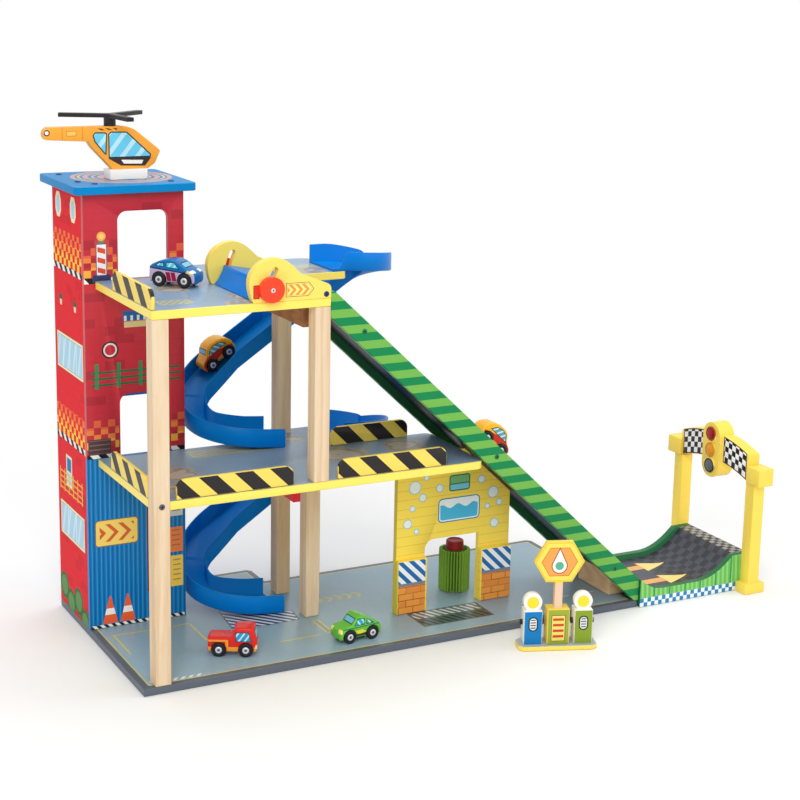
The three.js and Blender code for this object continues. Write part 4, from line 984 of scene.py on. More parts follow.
def channel_section(width, outer_wall):
    """The channel's cut, from the outer foot round to the outer rim, with round rims."""
    top = WALL_HEIGHT if outer_wall else WALL + FILLET
    shoulder = max(top - RIM, WALL + FILLET)
    return [
        (width, RIM), (width - RIM, 0), (RIM, 0), (0, RIM), (0, WALL_HEIGHT - RIM),
        (RIM, WALL_HEIGHT), (WALL - RIM, WALL_HEIGHT), (WALL, WALL_HEIGHT - RIM),
        (WALL, WALL + FILLET), (WALL + FILLET, WALL), (width - WALL - FILLET, WALL),
        (width - WALL, WALL + FILLET), (width - WALL, shoulder), (width - WALL + RIM, top),
        (width - RIM, top), (width, shoulder),
    ]


def spiral(node):
    """One moulded slide, swept along the stations from its deck."""
    start = box_mm(node)[1].z - WALL_HEIGHT
    shape = bmesh.new()
    rings = []
    for outer, inner, drop in stations:
        across = (outer - inner).normalized()
        lip = outer.x < LIP_END - LIP_GAP and drop == 0 and outer.y < TURN_Y
        ring = []
        for side, height in channel_section((outer - inner).length, not lip):
            flat = inner + across * side
            ring.append(shape.verts.new(spot(flat.x, flat.y, start - drop + height)))
        rings.append(ring)
    count = len(rings[0])
    for ring, following in zip(rings, rings[1:]):
        for i in range(count):
            j = (i + 1) % count
            shape.faces.new((ring[i], ring[j], following[j], following[i]))
    for end in (rings[0][::-1], rings[-1]):
        shape.faces.new(end).normal_update()
    bmesh.ops.triangulate(shape, faces=[face for face in shape.faces if len(face.verts) > 4])
    bmesh.ops.recalc_face_normals(shape, faces=shape.faces)
    stand_in(node, to_mesh(shape, node + "_slide", ROUND), plastic_material)


for node in ("spiral_upper", "spiral_lower"):
    spiral(node)

# %% [markdown]
# ## Kicker and gate
#
# The kicker's cheeks are green with upright stripes over a strip of blue and white checks.
# The gate is painted yellow. Its arch carries two checked flags, and its lamp case three
# round lamps: the checks follow the arch because they count from its curved lower edge.

# %% Kicker
CHEEK_GREEN = (104, 184, 92)
kicker_low, kicker_high = box_mm("kicker_frame")
lane = Finish("kicker print", (34, 108, 66), 0.34)
lane.lie("x", "z", lane.outside("y", kicker_low.y + 0.5, kicker_high.y - 0.5))
lane.lay(lane.face, CHEEK_GREEN)
lane.lay(lane.bars(0.05, 9.0, 0.45), (140, 206, 112))
lane.lay(lane.stripes("x", 31.0, 0.1), (52, 150, 84))
lane.lay(lane.below("z", 14.5), (236, 244, 248))
lane.lay([lane.below("z", 14.5), lane.checks("x", "z", 7.2)], (44, 132, 184))
lane.lie("x", "z")
lane.lay(lane.above("x", kicker_high.x - 0.4), CHEEK_GREEN)
board("kicker_frame", lane.done(), 0.6)

bed = Finish("kicker track print", (74, 76, 86), 0.36)
bed.lie("x", "y")
bed.tone(bed.cloud(30.0, 4.0), 0.22)
bed.lay([bed.above("x", kicker_low.x + 84), bed.checks("x", "y", 13.0)], (46, 46, 52), 0.75)
bed.lay([bed.above("x", kicker_high.x - 26.0), bed.checks("x", "y", 9.0)], (186, 180, 160), 0.7)
for middle in (48, 112):
    shaft = bed.box((kicker_low.x + 18, middle - 9), (kicker_low.x + 86, middle + 9))
    head = bed.polygon([
        (kicker_low.x + 84, middle - 21), (kicker_low.x + 132, middle),
        (kicker_low.x + 84, middle + 21),
    ])
    arrow = bed.any(shaft, head)
    bed.nest(arrow, (-1.6, (70, 44, 40)), (0, (240, 178, 104)))
    bed.lay([arrow, bed.above("x", kicker_low.x + 86)], (252, 226, 138))
board("kicker_track", bed.done(), 0.3)

# %% Gate
GATE_YELLOW = (255, 222, 92)
BAND_LOW = 188.3
BAND_RISE = 17.0
BAND_HEIGHT = 46.0
FLAG_EDGE = 0.8
CASE_HALF = 23.0
ARCH_FRONT = 1044.6
post = Finish("gate paint", GATE_YELLOW, 0.36)
post.tone(post.cloud(26.0), 0.03)
gate_material = post.done()
board("gate_post_front", gate_material, 1.0, 2)
board("gate_post_back", gate_material, 1.0, 2)

arch = Finish("gate arch print", GATE_YELLOW, 0.36)
arch_low, arch_high = box_mm("gate_arch")
gate_middle = (arch_low.y + arch_high.y) / 2
arch_half = (arch_high.y - arch_low.y) / 2
along_arch = arch.sub("y", gate_middle)
bow = arch.times(along_arch, 1 / arch_half)
lower_edge = arch.add(arch.times(arch.sub(1.0, arch.times(bow, bow)), BAND_RISE), BAND_LOW)
over_edge = arch.sub("z", lower_edge)
arch.lie("y", "z", arch.outside("x", ARCH_FRONT, arch_high.x - 0.4))
flag = arch.all(
    arch.between(over_edge, FLAG_EDGE, BAND_HEIGHT - FLAG_EDGE),
    arch.between(arch.abs(along_arch), CASE_HALF + 1, arch_half - 5),
)
arch.nest(flag, (0, (70, 34, 34)), (2.0, (244, 242, 238)))
squares = arch.checks(along_arch, arch.sub(over_edge, FLAG_EDGE + 2), 9.3)
arch.lay([arch.add(flag, 2.0), squares], (36, 32, 34))
board("gate_arch", arch.done(), 0.7)

# %% [markdown]
# ## Domes, rings and wheels from one profile tool
#
# Lamps, hub caps, tyres and the brush's cap are all turned shapes. A turned shape is a profile
# of radius and height spun round an axis. `turned` takes the profile in millimetres, spins it
# in equal steps, and caps the ends where the profile doesn't reach the axis.

# %% Turned pieces
def turned(shape, profile, place, axis, steps=40, finish_index=0):
    """Adds a closed turned solid to a shape. The profile's heights run along the axis."""
    turn = Vector(UP).rotation_difference(Vector(axis)).to_matrix()
    rings = []
    for radius, height in profile:
        ring = []
        for step in range(steps if radius else 1):
            angle = 2 * math.pi * step / steps
            local = Vector((radius * math.cos(angle), radius * math.sin(angle), height)) * MM
            ring.append(shape.verts.new(Vector(place) + turn @ local))
        rings.append(ring)
    made = []
    for lower, upper in zip(rings, rings[1:]):
        for step in range(steps):
            after = (step + 1) % steps
            corners = []
            for ring, index in ((lower, step), (lower, after), (upper, after), (upper, step)):
                vert = ring[index % len(ring)]
                if vert not in corners:
                    corners.append(vert)
            made.append(shape.faces.new(corners))
    made += [shape.faces.new(ring) for ring in (rings[0], rings[-1]) if len(ring) > 1]
    bmesh.ops.recalc_face_normals(shape, faces=made)
    for face in made:
        face.material_index = finish_index


def turned_piece(name, profile, place, axis, material, body):
    """A turned shape as a piece of its own."""
    shape = bmesh.new()
    turned(shape, profile, place, axis)
    place_piece(name, to_mesh(shape, name), material, body)


# %% Gate lamps
LAMP = [(9.8, 0), (9.8, 1.4), (8.2, 2.4), (5.0, 3.2), (0, 3.6)]
LAMP_RING = [(12.2, 0), (12.2, 1.4), (11.4, 2.2), (10.0, 1.6), (10.0, 0)]
for name, colour, ring_colour, height in (
    ("red", (158, 20, 30), (150, 60, 36), 249.6), ("amber", (236, 150, 28), (206, 150, 48), 221.6),
    ("grey", (90, 100, 106), (48, 46, 52), 194.4),
):
    glass = Finish(name + " lamp", colour, 0.15)
    glass.tone(glass.sub(1.0, glass.math("MINIMUM", glass.cloud(8.0), 1.0)), 0.12)
    ring = Finish(name + " lamp ring", ring_colour, 0.4)
    lamp_place = spot(arch_low.x + 1.0, gate_middle, height)
    for kind, profile, material in (
        ("gate_lamp_", LAMP, glass.done(0.02)), ("gate_lamp_ring_", LAMP_RING, ring.done()),
    ):
        turned_piece(kind + name, profile, lamp_place, (-1, 0, 0), material, "garage")

# %% [markdown]
# ## Car wash
#
# The wash wall is a yellow board with faint planks, a wide window with water in it, a small
# sign and plain bubbles. Its two legs show blue and white stripes over orange bricks. The
# brush is a ring of soft green fins round a core, under a red cap.

# %% Wash wall
WALL_Y = 112.0
LEG_TOP = 98.0
BRICK_TOP = 62.0
SIGN_GREEN = (50, 120, 78)
wash_low, wash_high = box_mm("wash_wall")
wash = Finish("wash wall print", (255, 226, 88), 0.38)
wash.tone(wash.cloud(70.0, 2.0), 0.05)
wash.lie("x", "z", wash.below("y", WALL_Y + 0.4))
wash.lay(wash.stripes("z", 15.0, 0.07), (228, 188, 60), 0.7)
panel = wash.tablet((547, 200), (585, 227), 5)
wash.nest(panel, (0, SIGN_GREEN), (2.2, (120, 186, 120)))
wash.lay([wash.add(panel, 2.2), wash.below("z", 212)], (120, 206, 236))
wash.lay([wash.add(panel, 2.2), wash.between("z", 211, 213)], SIGN_GREEN)
water = wash.tablet((528, 150), (604, 190), 8)
wash.nest(water, (0, (40, 130, 170)), (1.8, (236, 246, 248)))
wave = wash.times(wash.math("SINE", wash.times("x", 0.22)), 3.0)
wash.lay([wash.add(water, 4.0), wash.below(wash.add("z", wave), 176)], (72, 186, 226))
for u, v, radius in (
    (486, 214, 11), (500, 196, 7), (482, 180, 5.5), (628, 190, 10), (640, 172, 6), (618, 168, 5),
    (506, 228, 5), (530, 208, 7), (606, 214, 7), (474, 156, 8), (490, 142, 5), (632, 138, 8),
):
    wash.nest(wash.disc((u, v), radius), (0, (150, 206, 214)), (1.5, (238, 248, 248)))
wash.lie("x", "z")
wash.lay(wash.below("x", wash_low.x + 2.6), (214, 196, 70))
wash.lie("x", "z", wash.all(
    wash.below("y", WALL_Y - 0.5), wash.below("z", LEG_TOP),
    wash.any(wash.between("x", wash_low.x + 2.4, 503), wash.between("x", 606, wash_high.x)),
))
wash.lay(wash.face, (240, 158, 70))
mortar, chance = wash.bricks((26.0, 11.0), 1.3)
wash.lay(mortar, (176, 92, 46))
wash.lay(wash.sub(0.7, chance), (226, 134, 60), 0.6)
wash.lay(wash.above("z", BRICK_TOP - 5), (126, 134, 146))
wash.lay(wash.above("z", BRICK_TOP), (244, 248, 250))
wash.lay([wash.above("z", BRICK_TOP), wash.bars(1.0, 19.0, 0.5)], (34, 108, 172))
board("wash_wall", wash.done(), 0.6)

# %% [markdown]
# ## Copies on points
#
# Geometry Nodes can set copies of one shape on many points. One tree below puts a fin on every
# point of a circle, turned to face out, and later another puts a screw head on each point of a
# small mesh. The inputs carry the sizes, so either tree could serve another toy.

# %% Helpers for Geometry Nodes
class Grower(Tree):
    """A Geometry Nodes tree. Its inputs are given as pairs of a label and a kind."""

    def __init__(self, name, *inputs):
        super().__init__(bpy.data.node_groups.new(name, "GeometryNodeTree"))
        sockets = [(*pair, "INPUT") for pair in inputs] + [("Geometry", "Geometry", "OUTPUT")]
        for label, kind, way in sockets:
            self.tree.interface.new_socket(name=label, in_out=way, socket_type="NodeSocket" + kind)
        self.given = self.node("NodeGroupInput")

    def join(self, *parts):
        """Several geometries as one."""
        joined = self.tree.nodes.new("GeometryNodeJoinGeometry")
        for part in parts:
            self.link(part, joined.inputs[0])
        return joined.outputs[0]

    def painted(self, geometry, finish):
        values = {"Geometry": geometry, "Material": self.given[finish]}
        return self.node("GeometryNodeSetMaterial", values)[0]

    def copies(self, points, shape, direction, axis, size=(1, 1, 1)):
        """A copy of a shape on every point, with one of its axes along a direction."""
        turn = self.node("FunctionNodeAlignRotationToVector", {"Vector": direction}, axis=axis)[0]
        return self.node("GeometryNodeInstanceOnPoints", {
            "Points": points, "Instance": shape, "Rotation": turn, "Scale": size,
        })[0]

    def close(self, geometry):
        """Ends the tree with real geometry in place of copies. Returns the tree."""
        real = self.node("GeometryNodeRealizeInstances", {0: geometry})[0]
        self.link(real, self.tree.nodes.new("NodeGroupOutput").inputs[0])
        return self.tree


def carried_out(holder, name):
    """The plain mesh of an object with its modifiers carried out. The object is removed."""
    bpy.context.view_layer.update()
    graph = bpy.context.evaluated_depsgraph_get()
    made = bpy.data.meshes.new_from_object(holder.evaluated_get(graph))
    made.name = name
    bpy.data.objects.remove(holder)
    return made


def grow(name, tree, values, points=None):
    """The mesh that a tree makes from its inputs and, if it needs them, some points."""
    holder = placed(name + "_holder", points or bpy.data.meshes.new(name + "_seed"))
    modifier = holder.modifiers.new("tree", "NODES")
    modifier.node_group = tree
    for item in tree.interface.items_tree:
        if item.item_type == "SOCKET" and item.in_out == "INPUT" and item.name in values:
            modifier[item.identifier] = values[item.name]
    return carried_out(holder, name)


# %% Brush
FINS = 30
FIN_DEPTH = 8.0
FIN_FLATNESS = 0.34
CAP_RISE = 15.0
CAP = [(0, 0), (14.5, 0), (14.5, 12.6), (13.9, 14.2), (12.6, 15), (11.2, 14.2), (10.2, 13.2), (0, 12.8)]


def finned_roller():
    """Upright fins round a core. The inputs are the roller's sizes in metres."""
    roller = Grower(
        "finned roller", ("Radius", "Float"), ("Height", "Float"), ("Fins", "Int"),
        ("Fin Depth", "Float"), ("Fin Flatness", "Float"), ("Felt", "Material"),
    )
    given = roller.given
    half_fin = roller.math("MULTIPLY", given["Fin Depth"], 0.5)
    reach = roller.math("SUBTRACT", given["Radius"], half_fin)
    circle = roller.node("GeometryNodeMeshCircle", {"Vertices": given["Fins"], "Radius": reach})[0]
    fin, core = [
        roller.node("GeometryNodeMeshCylinder", {
            "Vertices": corners, "Radius": radius, "Depth": given["Height"],
        })[0]
        for corners, radius in ((12, half_fin), (60, roller.math("SUBTRACT", reach, half_fin)))
    ]
    outward = roller.node("GeometryNodeInputPosition")[0]
    flat = roller.node("ShaderNodeCombineXYZ", {0: 1.0, 1: given["Fin Flatness"], 2: 1.0})[0]
    fins = roller.copies(circle, fin, outward, "X", flat)
    return roller.close(roller.painted(roller.join(fins, core), "Felt"))


brush_low, brush_high = box_mm("brush_roller")
brush_x, brush_y, _ = (brush_low + brush_high) / 2
brush_radius = (brush_high.x - brush_low.x) / 2
felt = Finish("green felt", (128, 172, 62), 0.85)
felt.lie("x", "y")
felt.tone(felt.cloud(2.4, 4.0, (1, 1, 3)), 0.25)
# The felt is darker deep between the fins and on the core: painted shade.
felt.lay(felt.disc((brush_x, brush_y), brush_radius - 5.0), (44, 76, 24), 0.8)
felt.raise_by(felt.cloud(1.2, 3.0), 0.35)
felt_material = felt.done(0.02)
roller_height = brush_high.z - brush_low.z - CAP_RISE
roller = grow("brush_fins", finned_roller(), {
    "Radius": brush_radius * MM, "Height": roller_height * MM, "Fins": FINS,
    "Fin Depth": FIN_DEPTH * MM, "Fin Flatness": FIN_FLATNESS, "Felt": felt_material,
})
roller.transform(Matrix.Translation(spot(brush_x, brush_y, brush_low.z + roller_height / 2)))
place_piece("brush_fins", roller, felt_material, "brush", ["brush_roller"])
turned_piece(
    "brush_cap", CAP, spot(brush_x, brush_y, brush_high.z - CAP_RISE), UP,
    Finish("brush cap paint", (146, 30, 34), 0.35).done(), "brush",
)
print("brush radius, mm:", round(brush_radius))

# %% [markdown]
# ## Helicopter
#
# The helicopter is one thick painted board on a white block. Its print is two pale blue
# windows with dark rims, thin panel lines and a tail ring, on both faces. The rotor is
# black plastic with rounded blades.

# %% Helicopter
HELI_FRONT = 301.0
HELI_BACK = 318.0
STAND_TOP = 706.3
PANES = (
    [(37.9, 748), (52.9, 729.7), (56.1, 728.1), (57.8, 759.8), (54.4, 761.7), (39.1, 762.1),
     (35.3, 757.3)],
    [(59.5, 722.4), (78.6, 711.6), (115.7, 710.3), (124.6, 721.2), (125.3, 727.7), (88.1, 762),
     (63, 762.6), (59.1, 758.5)],
)
heli = Finish("helicopter print", (246, 166, 56), 0.36)
heli.lie("x", "z", heli.all(
    heli.outside("y", HELI_FRONT + 0.4, HELI_BACK - 0.4), heli.above("z", STAND_TOP + 0.3),
))
for outline in PANES:
    pane = heli.polygon(outline)
    heli.lay(pane, (56, 46, 44))
    glass = heli.all(heli.add(pane, 1.8), heli.above("z", 725))
    heli.lay(glass, (110, 206, 236))
    # Slanted pale streaks on the glass: a painted reflection.
    heli.lay([glass, heli.bars(-0.8, 24.0, 0.36)], (190, 236, 246))
heli.lay(heli.polygon([(82.9, 714.6), (110.8, 713.6), (113.4, 719.1), (78.8, 720.3)]), (246, 242, 234))
for x in (-10.8, 20.0):
    heli.lay([heli.between("x", x, x + 0.8), heli.above("z", 751)], (186, 110, 44))
heli.nest(heli.box((-4, 757), (11, 765)), (0, (196, 120, 50)), (1.0, (250, 196, 96)))
heli.lay([heli.box((43, 764.6), (73, 767.6)), heli.bars(2.0, 11.6, 0.55)], (120, 66, 40))
heli.nest(heli.disc((-33.4, 762.6), 4.6), (0, (60, 50, 48)), (1.8, (242, 240, 236)))
heli.lie("x", "z")
heli.lay([
    heli.above("x", 92), heli.between("y", HELI_FRONT + 2, HELI_BACK - 2), heli.above("z", 733),
], (120, 214, 236))
heli.lay(heli.below("z", STAND_TOP + 0.1), (246, 244, 240))
board("helicopter_body", heli.done(), 1.0, 2)

black = Finish("black plastic", (38, 36, 40), 0.35)
black.raise_by(black.cloud(5.0), 0.2)
board("helicopter_rotor", black.done(), 1.2, 2)

# %% [markdown]
# ## Fuel station
#
# The station stands turned on the floor in front of the ramp. A finish can be given the
# station's own place and turn, and then its print is laid out square to the station: X
# runs along it, Y to its back. Globes are white rings round yellow discs.

# %% Fuel station
STATION_PLACE = spot(566.0, -81.7, 0.0)
STATION_TURN = (0, 0, math.radians(-20.1))
STATION_DEPTH = 39.0
KIOSK_MIDDLE = 61.0
KIOSK_TOP = 63.3
PUMP_TOP = 61.3
PUMP_Y = 7.5
GLOBE_Z = 72.9
SIGN_LOW = 104.0
SIGN_MIDDLE = 136.3


def station_finish(name, colour, top):
    """A finish in the station's frame, its prints kept to the front and back under a height."""
    finish = Finish(name, colour, 0.34, STATION_PLACE, STATION_TURN)
    faces = finish.outside("y", PUMP_Y + 0.5, STATION_DEPTH - PUMP_Y - 0.5)
    finish.lie("x", "z", finish.all(faces, finish.below("z", top)))
    return finish


def pump(node, colour, middle):
    """A pump with white sides, a coloured face and a round yellow globe."""
    finish = station_finish(node + " print", (244, 244, 240), PUMP_TOP)
    finish.lay(finish.box((middle - 13.4, 8), (middle + 13.4, PUMP_TOP - 1)), colour)
    dial = finish.tablet((middle - 7.4, 29), (middle + 7.4, 52), 7.0)
    finish.nest(dial, (0, (30, 28, 32)), (2.0, (226, 230, 228)))
    finish.lay([finish.add(dial, 3.2), finish.stripes("z", 4.2, 0.4)], (60, 60, 66))
    finish.lie("x", "z")
    side_knobs = [finish.between("z", 36, 46), finish.above(finish.off("x", middle), 14.4)]
    finish.lay(side_knobs, (30, 28, 32))
    finish.lie("x", "z", finish.above("z", PUMP_TOP + 0.2))
    globe = finish.disc((middle, GLOBE_Z), 14.6)
    finish.nest(globe, (0, (250, 248, 242)), (5.2, (250, 224, 60)))
    board(node, finish.done(), 0.8, 2)


plinth = station_finish("station base paint", (255, 224, 96), 0)
plinth.lie("x", "z")
plinth.lay(plinth.above("z", 6.7), (176, 184, 190))
board("station_base", plinth.done(), 0.8)
pump("pump_blue", (6, 124, 192), 22.0)
pump("pump_green", (136, 160, 44), 100.0)

kiosk = station_finish("kiosk print", (246, 214, 92), KIOSK_TOP - 1.0)
kiosk.lay(kiosk.between("x", KIOSK_MIDDLE - 16, KIOSK_MIDDLE + 16), (158, 172, 58))
panel = kiosk.box((KIOSK_MIDDLE - 11, 12), (KIOSK_MIDDLE + 11, 54))
kiosk.nest(panel, (0, (96, 84, 40)), (1.0, (240, 222, 110)))
kiosk.lay([kiosk.add(panel, 2.6), kiosk.stripes("z", 9.0, 0.45)], (206, 70, 44))
kiosk.lie("x", "z")
kiosk.lay(kiosk.between("z", KIOSK_TOP + 0.5, SIGN_LOW - 2), (236, 200, 170))
kiosk.lie("x", "z", kiosk.above("z", SIGN_LOW - 1))
sign = kiosk.polygon([
    (KIOSK_MIDDLE + across, SIGN_MIDDLE + rise) for across, rise in
    ((-20.3, -32), (20.3, -32), (39, 0), (20.3, 32), (-20.3, 32), (-39, 0))
])
kiosk.nest(
    sign, (1.0, (244, 204, 62)), (3.0, (252, 226, 96)), (9.4, (214, 96, 40)), (10.4, (250, 168, 84)),
)
drop_round = kiosk.disc((KIOSK_MIDDLE, SIGN_LOW + 26), 11.0)
drop_tip = kiosk.polygon([
    (KIOSK_MIDDLE - 10.4, SIGN_LOW + 29.5), (KIOSK_MIDDLE + 10.4, SIGN_LOW + 29.5),
    (KIOSK_MIDDLE, SIGN_LOW + 52),
])
kiosk.nest(kiosk.any(drop_round, drop_tip), (-1.4, (150, 60, 36)), (0, (250, 246, 236)))
kiosk.lay(kiosk.add(drop_round, 4.5), (90, 180, 150))
board("station_kiosk", kiosk.done(), 0.7, 2)

# %% [markdown]
# ## Cars
#
# A toy car is a thick wooden outline with well rounded edges, printed windows and four
# black wheels. Each body is drawn as an outline, thickened, rounded, and cut where the
# wheels turn. The finish is laid in the car's own frame, as on the station.

# %% Where the cars stand
CAR_BODIES = ("blue_car", "red_truck", "green_car", "ramp_car", "lane_car")
ENDS = ("front", "rear")
WHEEL_RADIUS = 10.4
joints = {joint["name"]: joint for joint in record["behaviour"]["joints"]}


def axles(name):
    """The middles of a car's front and rear axle, in metres."""
    return [Vector(joints[f"{name}_{end}_spin"]["pos_m"]) for end in ENDS]


def car_frame(name):
    """A car's place on its lane and its turn, from the places of its two axles."""
    front_axle, rear_axle = axles(name)
    heading = (front_axle - rear_axle).normalized()
    across = Vector(joints[name + "_front_spin"]["axis"]).normalized()
    upward = heading.cross(across)
    turn = Matrix((heading, across, upward)).transposed()
    return (front_axle + rear_axle) / 2 - upward * WHEEL_RADIUS * MM, turn


for name in CAR_BODIES:
    print(name, "stands at", [round(value, 3) for value in car_frame(name)[0]])

# %% Car bodies
CAR_HALF = 16.0
CAR_FLOOR = 6.0
CAR_LENGTH = 73.0
CAR_HEIGHT = 34.0
TRUCK_HEIGHT = 38.5
BUBBLE_LENGTH = 64.0
WELL_RADIUS = 11.9
WELL_DEPTH = 5.0
CUTTER_LENGTH = 13.0
COUPE = (
    (0.02, 0.02), (0.98, 0.02), (1, 0.16), (0.995, 0.4), (0.95, 0.52), (0.8, 0.66), (0.66, 0.88),
    (0.56, 0.98), (0.46, 1), (0.36, 0.99), (0.2, 0.9), (0.06, 0.76), (0.01, 0.66), (0, 0.2),
)
FASTBACK = (
    (0.02, 0.02), (0.98, 0.02), (1, 0.16), (0.99, 0.44), (0.93, 0.54), (0.72, 0.62), (0.62, 0.88),
    (0.55, 0.99), (0.46, 1), (0.38, 0.94), (0.2, 0.72), (0.06, 0.54), (0.01, 0.44), (0, 0.14),
)
TRUCK = (
    (0.01, 0.02), (0.98, 0.02), (1, 0.16), (0.99, 0.52), (0.97, 0.72), (0.94, 0.94), (0.88, 0.995),
    (0.7, 1), (0.57, 0.99), (0.53, 0.92), (0.51, 0.66), (0.48, 0.62), (0.04, 0.62), (0, 0.56),
    (0, 0.1),
)
BUBBLE = (
    (0.02, 0.02), (0.98, 0.02), (1, 0.14), (0.99, 0.34), (0.94, 0.46), (0.8, 0.58), (0.7, 0.84),
    (0.6, 0.97), (0.48, 1), (0.34, 0.99), (0.2, 0.91), (0.08, 0.72), (0.01, 0.5), (0, 0.14),
)


def well_cutter(name, x, side):
    """A round cutter for one wheel well, which sticks out of the car's side."""
    cutter = bmesh.new()
    start = Vector((x, side * (CAR_HALF - WELL_DEPTH), WHEEL_RADIUS)) * MM
    turned(cutter, [(WELL_RADIUS, 0), (WELL_RADIUS, CUTTER_LENGTH)], start, (0, side, 0), 32)
    return placed(name, to_mesh(cutter, name))


def car_body(name, outline, length, height, rounding, material):
    """A rounded wooden body with four wheel wells, stood where the car stands."""
    shape = bmesh.new()
    near, far = [
        [
            shape.verts.new(Vector(((along - 0.5) * length, y, CAR_FLOOR + height * rise)) * MM)
            for along, rise in outline
        ]
        for y in (-CAR_HALF, CAR_HALF)
    ]
    shape.faces.new(near)
    shape.faces.new(reversed(far))
    for i in range(len(near)):
        j = (i + 1) % len(near)
        shape.faces.new((near[j], near[i], far[i], far[j]))
    bmesh.ops.recalc_face_normals(shape, faces=shape.faces)
    rims = [edge for edge in shape.edges if abs(edge.verts[0].co.y - edge.verts[1].co.y) < MM]
    bevel(shape, rims, rounding, 4)
    blank = placed(name + "_blank", to_mesh(shape, name + "_blank"))
    front_axle, rear_axle = axles(name)
    half_base = (front_axle - rear_axle).length / MM / 2
    wells = [(x, side) for x in (-half_base, half_base) for side in (-1, 1)]
    cutters = [well_cutter(name + "_cutter", x, side) for x, side in wells]
    for cutter in cutters:
        saw = blank.modifiers.new("well", "BOOLEAN")
        saw.object = cutter
        saw.solver = "EXACT"
    finished = carried_out(blank, name + "_body_wood")
    for cutter in cutters:
        bpy.data.objects.remove(cutter)
    place, turn = car_frame(name)
    finished.transform(Matrix.Translation(place) @ turn.to_4x4())
    finished.shade_smooth()
    finished.set_sharp_from_angle(angle=SMOOTH)
    finished.materials.clear()
    stand_in(name + "_body", finished, material)


# %% Car paint
SIDE_FROM = 15.0
GLASS_RIM = (34, 34, 44)


def car_finish(name, colour):
    """A glossy finish in the car's own frame. Its prints lie on the two flat sides."""
    place, turn = car_frame(name)
    paint = Finish(name + " paint", colour, 0.25, place, turn.to_euler("XYZ"))
    paint.lie("x", "z", paint.above(paint.abs("y"), SIDE_FROM))
    return paint


def glaze(paint, panes, glass, *screens):
    """Dark-rimmed windows on both sides, with slanted pale streaks as a painted reflection, and screens
    on the slopes between the sides.
    """
    paint.lie("x", "z", paint.above(paint.abs("y"), CAR_HALF - 1.2))
    for outline in panes:
        pane = paint.polygon(outline)
        paint.nest(pane, (0, GLASS_RIM), (1.1, glass))
        # Slanted pale streaks on the side panes: a painted reflection.
        paint.lay([paint.add(pane, 1.1), paint.bars(-0.7, 9.0, 0.34)], (190, 230, 240))
    paint.lie("x", "z")
    for low, high in screens:
        area = paint.all(paint.between("y", 4 - CAR_HALF, CAR_HALF - 4), paint.box(low, high))
        paint.nest(area, (0, GLASS_RIM), (1.2, (110, 196, 224)))


def headlights(paint, low, high, inner, colour):
    """Two lights on the nose, from a distance either side of its middle."""
    paint.lay([
        paint.above("x", low[0]), paint.between("z", low[1], high), paint.above(paint.abs("y"), inner),
    ], colour)


blue = car_finish("blue_car", (16, 110, 176))
belt = blue.slant("z", "x", 0.09)
blue.lay(blue.below(belt, 25.0), (36, 44, 110))
blue.lay(blue.below(belt, 23.0), (196, 176, 206))
for foot in (-7.0, 1.0):
    flash = blue.polygon([(foot, 9), (foot + 7, 9), (foot + 4, 22), (foot - 3, 22)])
    blue.lay(flash, (150, 26, 70))
blue.lay(blue.polygon([(22, 22), (35, 19), (35, 24), (25, 27)]), (226, 206, 110))
panes = ([(-27, 30), (-12, 29), (-12, 36), (-20, 35)], [(-9, 28.5), (13, 26.5), (4, 37), (-9, 36.5)])
glaze(blue, panes, (70, 206, 232), ((9, 29), (22, 36)), ((-30, 33), (-14, 38)))
headlights(blue, (28, 22), 25.5, 6, (236, 244, 250))
car_body("blue_car", COUPE, CAR_LENGTH, CAR_HEIGHT, 3.4, blue.done())

TRUCK_ORANGE = (248, 160, 56)
truck = car_finish("red_truck", (222, 42, 36))
truck.lay(truck.below("z", 15), TRUCK_ORANGE)
truck.lay(truck.box((-40, 9), (-6, 26)), TRUCK_ORANGE)
truck.lay(truck.box((-40, 15), (-10, 23)), (216, 44, 36))
truck.lay([truck.box((-29, 19), (-12, 22)), truck.stripes("x", 4.4, 0.62)], (76, 28, 34))
glaze(truck, ([(5, 23), (28, 23), (25, 38), (4, 38)],), (40, 150, 200), ((28, 27), (37, 40)))
headlights(truck, (34, 12), 18, 7, (250, 236, 170))
car_body("red_truck", TRUCK, CAR_LENGTH, TRUCK_HEIGHT, 3.2, truck.done())

green = car_finish("green_car", (106, 192, 62))
green.lay(green.below("z", 24), (14, 120, 96))
green.lay(green.below("z", 22.4), (104, 192, 60))
green.lay(green.polygon([(-10, 14), (4, 12), (12, 18), (-2, 19)]), (238, 222, 60))
green.lay(green.polygon([(-10, 9), (9, 9), (9, 12), (-10, 13)]), (40, 52, 52))
panes = ([(-23, 25.5), (-9, 25.5), (-9, 34.5), (-15, 32)], [(-6, 25.5), (13, 26), (6, 37), (-6, 36)])
glaze(green, panes, (24, 176, 196), ((8, 28), (20, 38)))
headlights(green, (33, 17), 23, 8, (244, 240, 130))
car_body("green_car", FASTBACK, CAR_LENGTH, CAR_HEIGHT, 3.2, green.done())

for name in ("ramp_car", "lane_car"):
    taxi = car_finish(name, (250, 180, 40))
    taxi.lay(taxi.polygon([(-22, 8), (33, 8), (33, 17), (24, 26), (2, 27), (-30, 18)]), (206, 48, 30))
    taxi.lay(taxi.polygon([(-8, 8), (8, 8), (2, 15), (-8, 15)]), (244, 150, 60))
    panes = ([(-22, 25), (15, 24.5), (9, 34), (-2, 37), (-14, 34)],)
    glaze(taxi, panes, (96, 160, 164), ((11, 29), (22, 37)))
    car_body(name, BUBBLE, BUBBLE_LENGTH, CAR_HEIGHT, 3.4, taxi.done())

# %% [markdown]
# ## Wheels
#
# A wheel pair is a black tyre on each end of a steel axle, with a bright hub cap and the dark
# end of the axle in its middle. The tyre has round shoulders and a shallow groove.

